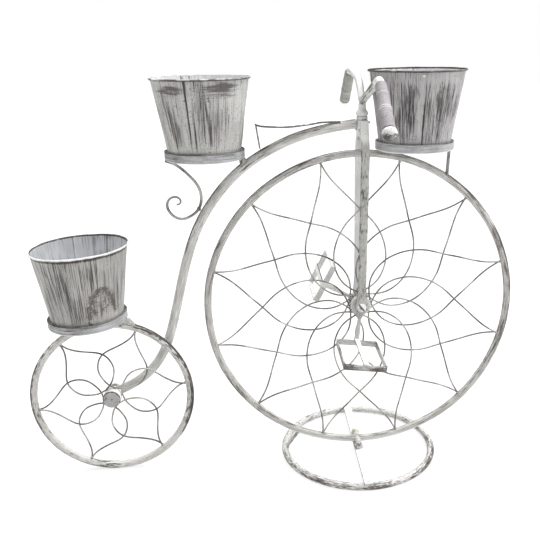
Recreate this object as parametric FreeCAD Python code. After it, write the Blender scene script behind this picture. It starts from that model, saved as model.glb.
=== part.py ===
import FreeCAD, Part
import math
import os

# Plant stand in the shape of a high-wheel bicycle, in millimetres.
# Working frame: the origin is the big wheel's hub centre, X to the front,
# Y away from the viewer, Z up.  SHIFT moves it to the stored frame, whose
# origin is the middle of the footprint, on the floor.

V = FreeCAD.Vector

# ---------------------------------------------------------------- dimensions
HUB_HEIGHT = 253.5            # big wheel's hub above the floor

RIM_R = 234.5                 # big rim, bar centre line
BAR_R = 5.5                   # rim and ring bar, radius
SPOKE_R = 1.15                # spoke wire, radius
SPOKE_Y = 1.25                # each hand of spokes lies this far off the plane
FRONT_POINTS = 12
FRONT_START = 15.0            # first spoke point on the big rim, degrees
FRONT_SPOKE = [(229.0, 0.0), (217.0, 0.8), (205.0, 2.0), (185.0, 5.4), (168.0, 9.6),
               (150.0, 15.2), (132.0, 23.6), (117.0, 30.4), (100.0, 37.6),
               (82.0, 44.4), (66.0, 49.2), (54.0, 51.6), (44.0, 52.0),
               (34.0, 49.0), (27.0, 43.0), (21.6, 33.0), (18.2, 18.0), (16.9, 2.0)]

REAR_X, REAR_Y = -386.0, -15.0
REAR_R = 118.5
REAR_POINTS = 6
REAR_START = 8.5
REAR_SPOKE = [(113.0, 0.0), (104.0, 1.2), (96.5, 3.6), (89.0, 7.8), (82.0, 14.0),
              (76.5, 21.5), (71.5, 28.5), (66.0, 33.8), (58.0, 39.0), (50.0, 43.0),
              (42.0, 45.0), (32.0, 43.8), (24.0, 39.3), (18.6, 29.0), (15.9, 15.0), (14.95, 2.0)]

HUB_R, HUB_HALF = 15.5, 13.0
AXLE_R = 4.0
FIT = 0.05                    # radial clearance of a turning fit

FORK_W, FORK_T = 12.5, 6.0    # blade section, across and through
FORK_LEAN = 0.45              # degrees, towards the front
LOBE_R, LOBE_IN, LOBE_OUT = 9.5, 17.0, 21.0
HEAD_X = 2.2
HEAD_R, HEAD_Z0, HEAD_Z1 = 8.8, 262.0, 283.5

BACKBONE_R = 7.0
BACKBONE = [(-4.0, 277.6), (-34.0, 274.6), (-60.0, 269.6), (-95.0, 260.0), (-130.5, 244.6),
            (-165.0, 224.0), (-194.5, 199.0), (-220.0, 168.5), (-240.0, 137.0),
            (-256.0, 99.0), (-267.5, 62.0), (-276.5, 27.0), (-285.0, -6.0), (-294.0, -37.0),
            (-306.5, -67.0), (-325.0, -93.0), (-347.0, -111.5), (-370.0, -123.5), (-386.0, -129.5)]

SADDLE_Z, SADDLE_T = 281.4, 2.0
SADDLE_EDGE = [(-154.0, 10.0), (-151.0, 24.0), (-143.0, 39.0), (-130.0, 48.5), (-115.0, 51.0),
               (-100.0, 46.0), (-84.0, 35.0), (-68.0, 20.0), (-56.0, 10.0), (-46.0, 6.5), (-30.0, 6.0)]
STRIP_T = 2.5
STRIP_W = 13.0
STRUT_W = 10.0                # strips that meet a rim bar, no wider than the bar

TRAY_R, TRAY_H, TRAY_T = 57.5, 13.0, 1.0
POT_TOP_R, POT_BOT_R, POT_H, POT_T = 69.2, 51.0, 114.0, 0.8
POT_BEAD_R = 1.3
POT_GAP = 0.3                 # pot floor above its tray floor
TOP_POT = (-227.3, 0.0, 232.9)          # tray underside centre
FRONT_POT = (80.4, 0.0, 239.1)
REAR_POT_TILT = 2.15          # degrees, leaning back
REAR_POT_OFF = -21.4          # along the tray from the small wheel's centre
REAR_POT_Y = -12.0

SCROLL_R = 2.2
SCROLL = [(-284.0, 230.5), (-273.5, 226.5), (-261.1, 217.9), (-248.7, 205.2), (-240.2, 193.5),
          (-235.9, 178.6), (-237.7, 164.0), (-243.4, 154.6), (-253.0, 147.5), (-264.4, 144.1),
          (-276.5, 148.0), (-284.2, 157.5), (-285.6, 168.0), (-280.3, 175.8), (-272.0, 177.2),
          (-266.4, 172.6), (-267.2, 167.4), (-271.4, 166.0)]

RING_R, RING_X, RING_Y = 119.0, -2.0, 3.0
STRIP_X = -3.5
CLIP_IN, CLIP_OUT = 19.0, 21.0
CLIP_BOLT_R = 3.0

BAR_TUBE_R = 5.3
STEM_R = 5.2
V_Z, V_BAR_R = 309.5, 14.0             # middle of the bar and its bend
BEND_Y, BEND_Z, BEND_BAR_R = 116.0, 354.0, 22.0
END_Y, END_Z = 199.0, 292.0
GRIP_R, CAP_R, GRIP_LONG = 8.6, 9.4, 88.0

CRANK_IN, CRANK_OUT = 14.0, 16.0       # crank plate, off the wheel plane
PEDAL_R = 59.5                         # pedal frame's mid height from the axle
PEDAL_HALF, PEDAL_DEEP, PEDAL_HIGH, PEDAL_T = 32.0, 94.0, 9.0, 2.0
NEAR_ANGLE, FAR_ANGLE = 262.8, 152.5   # crank directions, from the front, turning up

REAR_Z = -HUB_HEIGHT + REAR_R + BAR_R
RING_Z = -HUB_HEIGHT + BAR_R
RIM_BOTTOM_Z = -RIM_R
SHIFT = V(135.0, 0.0, HUB_HEIGHT)

os.makedirs("parts", exist_ok=True)
ALL = {}


def put(name, shape):
    shape = shape.copy()
    shape.translate(SHIFT)
    if shape.ShapeType == "Compound" and len(shape.Solids) == 1:
        shape = shape.Solids[0]
    if not shape.isValid() or not shape.Solids:
        print("INVALID", name)
    ALL[name] = shape
    shape.exportStep("parts/" + name + ".step")


def ring(R, r, centre):
    return Part.makeTorus(R, r, centre, V(0, 1, 0))


def rod(r, a, b):
    a, b = V(a), V(b)
    return Part.makeCylinder(r, (b - a).Length, a, b - a)


def path(points, radii=None):
    """Straight runs joined by tangent arcs at the given points."""
    edges = []
    last = points[0]
    n = len(points)
    for i in range(1, n - 1):
        p, q, s = points[i - 1], points[i], points[i + 1]
        a, b = (p - q), (s - q)
        la, lb = a.Length, b.Length
        a.normalize()
        b.normalize()
        half = a.getAngle(b) / 2.0
        back = 0.45 * min(la, lb)
        if radii:
            back = radii[i - 1] / math.tan(half)
        if math.pi / 2 - half < 0.004:
            continue
        t1, t2 = q + a * back, q + b * back
        rad = back * math.tan(half)
        mid = (a + b)
        mid.normalize()
        centre = q + mid * (back / math.cos(half))
        top = centre - mid * rad
        if (t1 - last).Length > 1e-6:
            edges.append(Part.LineSegment(last, t1).toShape())
        edges.append(Part.Arc(t1, top, t2).toShape())
        last = t2
    edges.append(Part.LineSegment(last, points[-1]).toShape())
    return Part.Wire(edges)


def sweep(points, section, radii=None):
    w = path(points, radii)
    solid = w.makePipeShell([section], True, False)
    return solid, w.Length


def round_section(r, at, direction):
    return Part.Wire([Part.makeCircle(r, at, direction)])


def tube(points, r, radii=None):
    sec = round_section(r, points[0], points[1] - points[0])
    s, length = sweep(points, sec, radii)
    want = math.pi * r * r * length
    if abs(s.Volume / want - 1.0) > 0.01:
        print("volume off", s.Volume, want)
    return s


def prism_xz(pts, y0, y1):
    """Plate with an outline in the XZ plane, from y0 to y1."""
    w = Part.makePolygon([V(x, y0, z) for x, z in pts] + [V(pts[0][0], y0, pts[0][1])])
    return Part.Face(w).extrude(V(0, y1 - y0, 0))


def smooth(pts, count):
    c = Part.BSplineCurve()
    c.interpolate(pts)
    return c.discretize(Number=count)


# ---------------------------------------------------------------- big wheel
rim = ring(RIM_R, BAR_R, V(0, 0, 0))
clip_hole = rod(CLIP_BOLT_R + 0.1, (STRIP_X, -20, RIM_BOTTOM_Z), (STRIP_X, 20, RIM_BOTTOM_Z))
rim = rim.cut(clip_hole)
put("front_rim", rim)


def spokes(table, count, start, sign, centre, y, samples):
    pts = smooth([V(r * math.cos(math.radians(sign * a)), 0, r * math.sin(math.radians(sign * a)))
                  for r, a in table], samples)
    one = tube(pts, SPOKE_R)
    out = []
    for k in range(count):
        s = one.copy()
        # turning up from +X towards +Z is a negative turn about +Y
        s.rotate(V(0, 0, 0), V(0, 1, 0), -(start + 360.0 / count * k))
        s.translate(V(centre.x, centre.y + y, centre.z))
        out.append(s)
    return Part.makeCompound(out)


put("front_spokes_left_hand", spokes(FRONT_SPOKE, FRONT_POINTS, FRONT_START, 1, V(0, 0, 0), -SPOKE_Y, 19))
put("front_spokes_right_hand", spokes(FRONT_SPOKE, FRONT_POINTS, FRONT_START, -1, V(0, 0, 0), SPOKE_Y, 19))

hub = rod(HUB_R, (0, -HUB_HALF, 0), (0, HUB_HALF, 0))
hub = hub.makeChamfer(1.0, [e for e in hub.Edges if isinstance(e.Curve, Part.Circle)])
hub = hub.cut(rod(AXLE_R + FIT, (0, -20, 0), (0, 20, 0)))
put("front_hub", hub)

# axle bolt with a slotted dome head on the near side, nut on the far side
shank = rod(AXLE_R, (0, -LOBE_OUT, 0), (0, LOBE_OUT + 7.0, 0))
dome = Part.makeSphere(9.0, V(0, -LOBE_OUT + 5.0, 0)).common(
    Part.makeBox(30, 10, 30, V(-15, -LOBE_OUT - 10, -15)))
dome = dome.common(rod(6.8, (0, -LOBE_OUT - 9, 0), (0, -LOBE_OUT, 0)))
slot = Part.makeBox(16, 2.0, 1.6, V(-8, -LOBE_OUT - 5.0, -0.8))
slot.rotate(V(0, 0, 0), V(0, 1, 0), 52)
put("axle_bolt", shank.fuse(dome).removeSplitter().cut(slot))


def hexagon(af, y0, y1, x, z, bore):
    c = af / 2.0 / math.cos(math.pi / 6)
    pts = [(x + c * math.cos(math.radians(60 * k)), z + c * math.sin(math.radians(60 * k))) for k in range(6)]
    s = prism_xz(pts, y0, y1)
    if bore:
        s = s.cut(rod(bore, (x, y0 - 1, z), (x, y1 + 1, z)))
    return s


put("axle_nut", hexagon(13.0, LOBE_OUT, LOBE_OUT + 6.0, 0, 0, AXLE_R))
washers = []
for s in (-1, 1):
    for y0, y1 in ((HUB_HALF, HUB_HALF + 0.6), (LOBE_IN - 0.6, LOBE_IN)):
        w = rod(8.0, (0, s * y0, 0), (0, s * y1, 0)).cut(rod(AXLE_R + FIT, (0, -30, 0), (0, 30, 0)))
        washers.append(w)
put("axle_washers", Part.makeCompound(washers))


# ---------------------------------------------------------------- fork
def stadium(w, t, at):
    """Section of a flattened tube in a plane of constant z: w along X, t along Y."""
    h, q = (w - t) / 2.0, t / 2.0
    x, y, z = at.x, at.y, at.z
    return Part.Wire([
        Part.LineSegment(V(x - h, y - q, z), V(x + h, y - q, z)).toShape(),
        Part.Arc(V(x + h, y - q, z), V(x + h + q, y, z), V(x + h, y + q, z)).toShape(),
        Part.LineSegment(V(x + h, y + q, z), V(x - h, y + q, z)).toShape(),
        Part.Arc(V(x - h, y + q, z), V(x - h - q, y, z), V(x - h, y - q, z)).toShape()])


head_cut = rod(HEAD_R, (HEAD_X, 0, HEAD_Z0 - 6), (HEAD_X, 0, HEAD_Z1 + 20))


def blade(side):
    pts = [V(0, side * y, z) for y, z in ((11.5, 283.0), (11.8, 271.0), (27.3, 241.0), (20.0, 20.0))]
    s, length = sweep(pts, stadium(FORK_W, FORK_T, pts[0]))
    y0, y1 = sorted((side * LOBE_IN, side * LOBE_OUT))
    web = prism_xz([(-6.2, 52), (6.2, 52), (6.4, 34), (LOBE_R - 0.6, 6), (LOBE_R - 0.6, 0),
                    (-LOBE_R + 0.6, 0), (-LOBE_R + 0.6, 6), (-6.4, 34)], y0, y1)
    eye = rod(LOBE_R, (0, y0, 0), (0, y1, 0))
    top = s.fuse([web, eye])
    top.rotate(V(0, 0, 0), V(0, 1, 0), FORK_LEAN)
    top = top.cut(rod(AXLE_R + FIT, (0, -40, 0), (0, 40, 0)))
    return top.cut(head_cut)


put("fork_blade_near", blade(-1))
put("fork_blade_far", blade(1))

head = rod(HEAD_R, (HEAD_X, 0, HEAD_Z0), (HEAD_X, 0, HEAD_Z1))
head = head.cut(rod(STEM_R + FIT, (HEAD_X, 0, HEAD_Z0 + 3.0), (HEAD_X, 0, HEAD_Z1 + 1)))
screw_hole = rod(1.6, (HEAD_X, 0, 279.5), (HEAD_X + 20, 0, 279.5))
head = head.cut(screw_hole)
put("head_tube", head)
screw = rod(1.6, (HEAD_X + STEM_R + 0.4, 0, 279.5), (HEAD_X + 12.0, 0, 279.5))
put("stem_set_screw", screw)

# ---------------------------------------------------------------- backbone
bb_pts = [V(x, 0, z) for x, z in BACKBONE]
bb = tube(bb_pts, BACKBONE_R)
eye = rod(12.0, (REAR_X, -BACKBONE_R, REAR_Z), (REAR_X, BACKBONE_R - 1.0, REAR_Z))
bb = bb.fuse(eye)
bb = bb.cut(Part.makeBox(60, 60, 60, V(HEAD_X, -30, 250)))
bb = bb.cut(head_cut)
bb = bb.cut(rod(HEAD_R + 1.4, (HEAD_X, 0, HEAD_Z1 - 0.2), (HEAD_X, 0, HEAD_Z1 + 20)))
put("backbone_tube", bb)

# ---------------------------------------------------------------- saddle
near_edge = [V(x, -y, SADDLE_Z) for x, y in SADDLE_EDGE]
far_edge = [V(x, y, SADDLE_Z) for x, y in reversed(SADDLE_EDGE)]


def spline_edge(pts):
    c = Part.BSplineCurve()
    c.interpolate(pts)
    return c.toShape()


outline = Part.Wire([spline_edge(near_edge), Part.LineSegment(near_edge[-1], far_edge[0]).toShape(),
                     spline_edge(far_edge), Part.LineSegment(far_edge[-1], near_edge[0]).toShape()])
saddle = Part.Face(outline).extrude(V(0, 0, SADDLE_T)).cut(bb)
put("saddle_plate", saddle)

leg = prism_xz([(-154.0, SADDLE_Z), (-151.6, SADDLE_Z), (-145.8, 241.0), (-148.2, 241.0)],
               -STRIP_W / 2, STRIP_W / 2).cut(bb)
leg = sorted(leg.Solids, key=lambda s: -s.BoundBox.ZMax)[0]
put("saddle_leg", leg)

# ---------------------------------------------------------------- small wheel
rear_c = V(REAR_X, REAR_Y, REAR_Z)
rear_rim = ring(REAR_R, BAR_R, rear_c)
put("rear_rim", rear_rim)
put("rear_spokes_left_hand", spokes(REAR_SPOKE, REAR_POINTS, REAR_START, 1, rear_c, -SPOKE_Y, 17))
put("rear_spokes_right_hand", spokes(REAR_SPOKE, REAR_POINTS, REAR_START, -1, rear_c, SPOKE_Y, 17))
rear_hub = rod(13.5, (REAR_X, -28.0, REAR_Z), (REAR_X, -BACKBONE_R, REAR_Z))
rear_hub = rear_hub.makeChamfer(0.8, [e for e in rear_hub.Edges if isinstance(e.Curve, Part.Circle)])
put("rear_hub", rear_hub)


# ---------------------------------------------------------------- trays and pots
def cone_shell(r0, r1, h, t):
    return Part.makeCone(r0, r1, h).cut(Part.makeCone(r0 - t, r1 - t, h))


def tray():
    s = Part.makeCylinder(TRAY_R, TRAY_H).cut(
        Part.makeCylinder(TRAY_R - TRAY_T, TRAY_H, V(0, 0, TRAY_T)))
    return s


def pot():
    z0 = TRAY_T + POT_GAP
    wall = cone_shell(POT_BOT_R, POT_TOP_R, POT_H, POT_T)
    floor_top = 1.0
    slope = (POT_TOP_R - POT_BOT_R) / POT_H
    floor = Part.makeCone(POT_BOT_R - POT_T, POT_BOT_R - POT_T + slope * floor_top, floor_top)
    bead = Part.makeTorus(POT_TOP_R + POT_BEAD_R - 0.15, POT_BEAD_R, V(0, 0, POT_H - POT_BEAD_R))
    bead = bead.cut(Part.makeCone(POT_BOT_R, POT_TOP_R, POT_H))
    for s in (wall, floor, bead):
        s.translate(V(0, 0, z0))
    return wall, floor, bead


def place(shape, at, tilt):
    s = shape.copy()
    if tilt:
        s.rotate(V(0, 0, 0), V(0, 1, 0), -tilt)
    s.translate(V(*at))
    return s


t = math.radians(REAR_POT_TILT)
along = REAR_R + BAR_R + 0.1
rear_tray_at = (REAR_X - along * math.sin(t) + REAR_POT_OFF * math.cos(t), REAR_POT_Y,
                REAR_Z + along * math.cos(t) + REAR_POT_OFF * math.sin(t))
print("rear tray at", rear_tray_at)
for name, at, tilt in (("top", TOP_POT, 0.0), ("front", FRONT_POT, 0.0), ("rear", rear_tray_at, REAR_POT_TILT)):
    put(name + "_tray", place(tray(), at, tilt))
    wall, floor, bead = pot()
    put(name + "_pot_wall", place(wall, at, tilt))
    put(name + "_pot_floor", place(floor, at, tilt))
    put(name + "_pot_rim_wire", place(bead, at, tilt))

# scroll under the top tray
put("scroll_bracket", tube(smooth([V(x, 0, z) for x, z in SCROLL], 40), SCROLL_R).cut(bb))

# lug between the top tray's underside and the backbone
lug = prism_xz([(-179.0, TOP_POT[2]), (-170.5, TOP_POT[2]), (-163.0, 226.0), (-172.0, 219.0), (-177.5, 224.0)], -5.0, 5.0)
lug = lug.cut(bb)
lug = sorted(lug.Solids, key=lambda s: -s.BoundBox.ZMax)[0]
put("top_tray_lug", lug)

# strip from the front tray's underside to the big rim
strut = prism_xz([(132.4, FRONT_POT[2]), (134.8, FRONT_POT[2]), (132.2, 196.0), (129.8, 196.0)],
                 -STRUT_W / 2, STRUT_W / 2)
strut = strut.cut(ring(RIM_R, BAR_R, V(0, 0, 0)))
strut = sorted(strut.Solids, key=lambda s: -s.Volume)[0]
put("front_tray_strut", strut)

# wedge between the rear tray and the small rim
def wedge_z(x):
    return along / math.cos(t) + x * math.tan(t)


gus = prism_xz([(REAR_X + x, REAR_Z + z) for x, z in
                ((10.0, wedge_z(10.0)), (34.0, wedge_z(34.0)), (44.5, 114.0), (36.0, 116.5), (22.0, 120.0), (10.0, 121.6))],
               REAR_Y - 5.0, REAR_Y + 5.0)
gus = gus.cut(rear_rim)
gus = sorted(gus.Solids, key=lambda s: -s.Volume)[0]
put("rear_tray_gusset", gus)

# ---------------------------------------------------------------- base
base_ring = Part.makeTorus(RING_R, BAR_R, V(RING_X, RING_Y, RING_Z))
put("base_ring", base_ring)
strip_z0 = RING_Z + BAR_R - 0.7
strip = Part.makeBox(STRIP_W, 2 * RING_R + 6.0, STRIP_T, V(STRIP_X - STRIP_W / 2, RING_Y - RING_R - 3.0, strip_z0))
strip = strip.cut(base_ring)
strip_top = strip_z0 + STRIP_T
put("base_cross_strip", strip)


def base_strut(x_ring, x_rim):
    z_rim = -math.sqrt(RIM_R ** 2 - x_rim ** 2)
    z_ring = RING_Z + 3.0
    d = V(x_rim - x_ring, 0, z_rim - z_ring)
    d.normalize()
    n = V(-d.z, 0, d.x) * (STRIP_T / 2)
    a, b = V(x_ring, 0, z_ring), V(x_rim, 0, z_rim)
    s = prism_xz([((a + n).x, (a + n).z), ((b + n).x, (b + n).z), ((b - n).x, (b - n).z), ((a - n).x, (a - n).z)],
                 0.5 - STRUT_W / 2, 0.5 + STRUT_W / 2)
    s = s.cut(ring(RIM_R, BAR_R, V(0, 0, 0))).cut(base_ring)
    return sorted(s.Solids, key=lambda q: -q.Volume)[0]


put("base_strut_left", base_strut(RING_X - RING_R, -97.0))
put("base_strut_right", base_strut(RING_X + RING_R, 91.5))

tabs, spacers = [], []
for s in (-1, 1):
    foot = Part.makeBox(STRIP_W, CLIP_OUT - 8.0, 2.0,
                        V(STRIP_X - STRIP_W / 2, min(s * 8.0, s * CLIP_OUT), strip_top))
    y0, y1 = sorted((s * CLIP_IN, s * CLIP_OUT))
    up = Part.makeBox(STRIP_W, y1 - y0, RIM_BOTTOM_Z - strip_top, V(STRIP_X - STRIP_W / 2, y0, strip_top))
    cap = rod(STRIP_W / 2, (STRIP_X, y0, RIM_BOTTOM_Z), (STRIP_X, y1, RIM_BOTTOM_Z))
    cap = cap.common(Part.makeBox(30, 60, 30, V(STRIP_X - 15, -30, strip_top)))
    tab = foot.fuse([up, cap]).removeSplitter().cut(
        rod(CLIP_BOLT_R + 0.1, (STRIP_X, -30, RIM_BOTTOM_Z), (STRIP_X, 30, RIM_BOTTOM_Z)))
    tabs.append(tab)
    y0, y1 = sorted((s * 3.0, s * CLIP_IN))
    sp = rod(4.6, (STRIP_X, y0, RIM_BOTTOM_Z + 1.2), (STRIP_X, y1, RIM_BOTTOM_Z + 1.2)).cut(
        rod(CLIP_BOLT_R + 0.1, (STRIP_X, -30, RIM_BOTTOM_Z), (STRIP_X, 30, RIM_BOTTOM_Z))).cut(
        ring(RIM_R, BAR_R, V(0, 0, 0))).cut(foot)
    spacers.append(sorted(sp.Solids, key=lambda q: -q.Volume)[0])
put("rim_clip_tabs", Part.makeCompound(tabs))
put("clip_spacers", Part.makeCompound(spacers))
cb = rod(CLIP_BOLT_R, (STRIP_X, -CLIP_OUT, RIM_BOTTOM_Z), (STRIP_X, CLIP_OUT + 6.0, RIM_BOTTOM_Z)).fuse(
    hexagon(10.0, -CLIP_OUT - 4.0, -CLIP_OUT, STRIP_X, RIM_BOTTOM_Z, 0)).removeSplitter()
put("clip_bolt", cb)
put("clip_nut", hexagon(10.0, CLIP_OUT, CLIP_OUT + 5.0, STRIP_X, RIM_BOTTOM_Z, CLIP_BOLT_R))

# ---------------------------------------------------------------- handlebar
stem = rod(STEM_R, (HEAD_X, 0, HEAD_Z0 + 4.0), (HEAD_X, 0, V_Z - 2.0))
profile = [(0, HEAD_Z1 + 0.4), (8.6, HEAD_Z1 + 0.4), (9.3, HEAD_Z1 + 5.0), (9.0, HEAD_Z1 + 11.0),
           (7.6, HEAD_Z1 + 16.5), (6.2, HEAD_Z1 + 20.0), (0, HEAD_Z1 + 20.0)]
collar = Part.Face(Part.makePolygon([V(r, 0, z) for r, z in profile] + [V(0, 0, profile[0][1])])).revolve(
    V(0, 0, 0), V(0, 0, 1), 360)
collar.translate(V(HEAD_X, 0, 0))
bar_pts = [V(HEAD_X, y, z) for y, z in
           ((-END_Y, END_Z), (-BEND_Y, BEND_Z), (0, V_Z), (BEND_Y, BEND_Z), (END_Y, END_Z))]
bar = tube(bar_pts, BAR_TUBE_R, (BEND_BAR_R, V_BAR_R, BEND_BAR_R))
put("handlebar_bar", bar)
put("handlebar_stem", stem.fuse(collar).cut(bar))

slope_a = V(0, BEND_Y, BEND_Z)
slope_b = V(0, END_Y, END_Z)
d = slope_b - slope_a
d.normalize()
for name, s in (("near", -1), ("far", 1)):
    dd = V(0, s * d.y, d.z)
    e = V(HEAD_X, s * END_Y, END_Z)
    g0, g1 = e - dd * (GRIP_LONG + 1.0), e - dd * 1.0
    grip = rod(GRIP_R, g0, g1)
    grip = grip.makeChamfer(1.2, [x for x in grip.Edges if isinstance(x.Curve, Part.Circle)])
    grip = grip.cut(rod(BAR_TUBE_R, g0 - dd * 5, g1 + dd * 5))
    put("grip_" + name, grip)
    ball = Part.makeSphere(9.9, e + dd * 0.8)
    cap = rod(CAP_R, e - dd * 1.0, e + dd * 12.0).common(ball)
    cap = cap.cut(rod(BAR_TUBE_R, g0, e + dd * 0.001))
    put("grip_cap_" + name, cap)


# ---------------------------------------------------------------- cranks and pedals
def crank_set(side, angle, bar_outside):
    """Built hanging straight down on the far side, then turned and mirrored."""
    y0, y1 = CRANK_IN, CRANK_OUT
    hi = -(PEDAL_R - PEDAL_HIGH / 2)
    lo = -(PEDAL_R + PEDAL_HIGH / 2)
    end = lo - PEDAL_T if bar_outside else hi
    top = end + PEDAL_T
    plate = rod(12.5, (0, y0, 0), (0, y1, 0))
    tear = prism_xz([(-12.0, -3.0), (-8.5, -9.5), (-2.6, -19.0), (2.6, -19.0), (8.5, -9.5), (12.0, -3.0)], y0, y1)
    arm = prism_xz([(-2.6, -17.0), (2.6, -17.0), (4.0, end), (-4.0, end)], y0, y1)
    flat = Part.makeBox(8.0, PEDAL_DEEP + (CRANK_OUT - CRANK_IN), PEDAL_T, V(-4.0, y0, end))
    crank = plate.fuse([tear, arm, flat]).removeSplitter()
    crank = crank.cut(rod(AXLE_R + FIT, (0, -1, 0), (0, 40, 0)))
    outer = Part.makeBox(2 * PEDAL_HALF, PEDAL_DEEP, PEDAL_HIGH, V(-PEDAL_HALF, CRANK_OUT, lo))
    inner = Part.makeBox(2 * PEDAL_HALF - 2 * PEDAL_T, PEDAL_DEEP - 2 * PEDAL_T, PEDAL_HIGH + 2,
                         V(-PEDAL_HALF + PEDAL_T, CRANK_OUT + PEDAL_T, lo - 1))
    frame = outer.cut(inner)
    frame = frame.cut(crank)
    out = []
    for s in (crank, frame):
        if side < 0:
            s = s.mirror(V(0, 0, 0), V(0, 1, 0))
        # hanging down is 270 degrees
        s.rotate(V(0, 0, 0), V(0, 1, 0), -(angle - 270.0))
        out.append(s)
    return out


c, f = crank_set(-1, NEAR_ANGLE, False)
put("crank_near", c)
put("pedal_frame_near", f)
c, f = crank_set(1, FAR_ANGLE, True)
put("crank_far", c)
put("pedal_frame_far", f)

# ---------------------------------------------------------------- overall size
box = FreeCAD.BoundBox()
for s in ALL.values():
    box.add(s.optimalBoundingBox(False))
print("box", [round(v, 3) for v in (box.XMin, box.XMax, box.YMin, box.YMax, box.ZMin, box.ZMax)])
print("centre", round((box.XMin + box.XMax) / 2, 3), round((box.YMin + box.YMax) / 2, 3), "nodes", len(ALL),
      "solids", sum(len(s.Solids) for s in ALL.values()))
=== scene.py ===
import math

import bmesh
import bpy
import numpy as np
from mathutils import Matrix, Vector


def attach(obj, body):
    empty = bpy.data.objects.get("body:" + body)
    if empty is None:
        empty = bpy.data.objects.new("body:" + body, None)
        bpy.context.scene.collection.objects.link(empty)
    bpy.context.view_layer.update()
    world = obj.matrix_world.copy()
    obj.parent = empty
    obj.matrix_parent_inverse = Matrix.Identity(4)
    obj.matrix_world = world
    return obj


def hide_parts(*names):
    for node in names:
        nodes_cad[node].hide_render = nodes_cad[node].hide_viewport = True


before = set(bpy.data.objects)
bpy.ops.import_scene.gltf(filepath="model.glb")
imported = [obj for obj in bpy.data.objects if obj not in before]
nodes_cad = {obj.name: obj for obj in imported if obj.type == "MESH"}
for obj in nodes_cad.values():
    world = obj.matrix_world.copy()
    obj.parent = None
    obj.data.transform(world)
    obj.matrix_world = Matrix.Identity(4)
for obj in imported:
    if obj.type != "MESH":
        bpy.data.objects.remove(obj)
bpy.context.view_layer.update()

# Shapes are written in millimetres about the big wheel's hub and moved to the
# stored frame, in metres, when a piece is made.
MM = 0.001
SHIFT = np.array([135.0, 0.0, 253.5])
TAU = 2.0 * math.pi


# ------------------------------------------------------------------ geometry kit
def unit(a):
    a = np.asarray(a, float)
    return a / np.maximum(np.linalg.norm(a, axis=-1, keepdims=True), 1e-12)


def wob(p, scale, seed, terms=6):
    """Smooth irregular value in about -1..1 at points p (mm); scale is a wavelength in mm."""
    rng = np.random.RandomState(seed)
    p = np.asarray(p, float)
    out = np.zeros(p.shape[:-1])
    for k in range(terms):
        d = unit(rng.normal(size=3))
        w = scale * (0.55 + 0.9 * rng.rand())
        out += np.sin(p @ d * TAU / w + rng.rand() * TAU)
    return out / (0.55 * terms)


def spline(pts, count):
    """Natural cubic spline through pts, sampled evenly by parameter."""
    pts = np.asarray(pts, float)
    t = np.concatenate([[0], np.cumsum(np.linalg.norm(np.diff(pts, axis=0), axis=1))])
    n = len(t)
    h = np.diff(t)
    A = np.zeros((n, n))
    rhs = np.zeros((n, pts.shape[1]))
    A[0, 0] = A[-1, -1] = 1.0
    for i in range(1, n - 1):
        A[i, i - 1], A[i, i], A[i, i + 1] = h[i - 1], 2 * (h[i - 1] + h[i]), h[i]
        rhs[i] = 6 * ((pts[i + 1] - pts[i]) / h[i] - (pts[i] - pts[i - 1]) / h[i - 1])
    m = np.linalg.solve(A, rhs)
    q = np.linspace(0, t[-1], count)
    k = np.clip(np.searchsorted(t, q) - 1, 0, n - 2)
    a, b = (t[k + 1] - q)[:, None], (q - t[k])[:, None]
    hk = h[k][:, None]
    return (m[k] * a ** 3 + m[k + 1] * b ** 3) / (6 * hk) + (pts[k] / hk - m[k] * hk / 6) * a + (pts[k + 1] / hk - m[k + 1] * hk / 6) * b


def bends(points, backs, step):
    """Straight runs with rounded corners; backs is how far each corner is cut back."""
    points = [np.asarray(p, float) for p in points]
    out = [points[0]]
    for i in range(1, len(points) - 1):
        p, q, s = points[i - 1], points[i], points[i + 1]
        a, b = unit(p - q), unit(s - q)
        back = backs[i - 1]
        t1, t2 = q + a * back, q + b * back
        half = math.acos(np.clip(a @ b, -1, 1)) / 2
        centre = q + unit(a + b) * back / math.cos(half)
        rad = back * math.tan(half)
        turn = math.pi - 2 * half
        cnt = max(6, int(rad * turn / step))
        e1, e2 = unit(t1 - centre), None
        e2 = unit((t2 - centre) - e1 * ((t2 - centre) @ e1))
        for k in range(cnt + 1):
            f = turn * k / cnt
            out.append(centre + rad * (math.cos(f) * e1 + math.sin(f) * e2))
    out.append(points[-1])
    fine = [out[0]]
    for a, b in zip(out[:-1], out[1:]):
        cnt = max(1, int(np.linalg.norm(b - a) / step))
        for k in range(1, cnt + 1):
            fine.append(a + (b - a) * k / cnt)
    return np.array(fine)


class Geo:
    """Collects closed parts of one piece: points, faces, flow coordinates and a per-point value of wear and painted
    light (raised it darkens the paint, lowered it lightens it).
    """

    def __init__(self):
        self.v, self.f, self.flow, self.wear, self.n = [], [], [], [], 0

    def add(self, v, f, flow=None, wear=0.0):
        v = np.asarray(v, float)
        self.v.append(v)
        self.f.extend([[i + self.n for i in q] for q in f])
        self.flow.append(np.asarray(v if flow is None else flow, float))
        w = np.asarray(wear, float)
        self.wear.append(np.broadcast_to(w, (len(v),)).copy())
        self.n += len(v)
        return self

    def turned(self, fn):
        self.v = [fn(x) for x in self.v]
        return self


def grid_faces(n, m, wrap_n, wrap_m):
    f = []
    for i in range(n if wrap_n else n - 1):
        a, b = i * m, ((i + 1) % n) * m
        for j in range(m if wrap_m else m - 1):
            k = (j + 1) % m
            f.append((a + j, a + k, b + k, b + j))
    return f


def circle(r, m=16, ry=None):
    t = np.arange(m) * TAU / m
    return np.stack([r * np.cos(t), (r if ry is None else ry) * np.sin(t)], -1)


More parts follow.
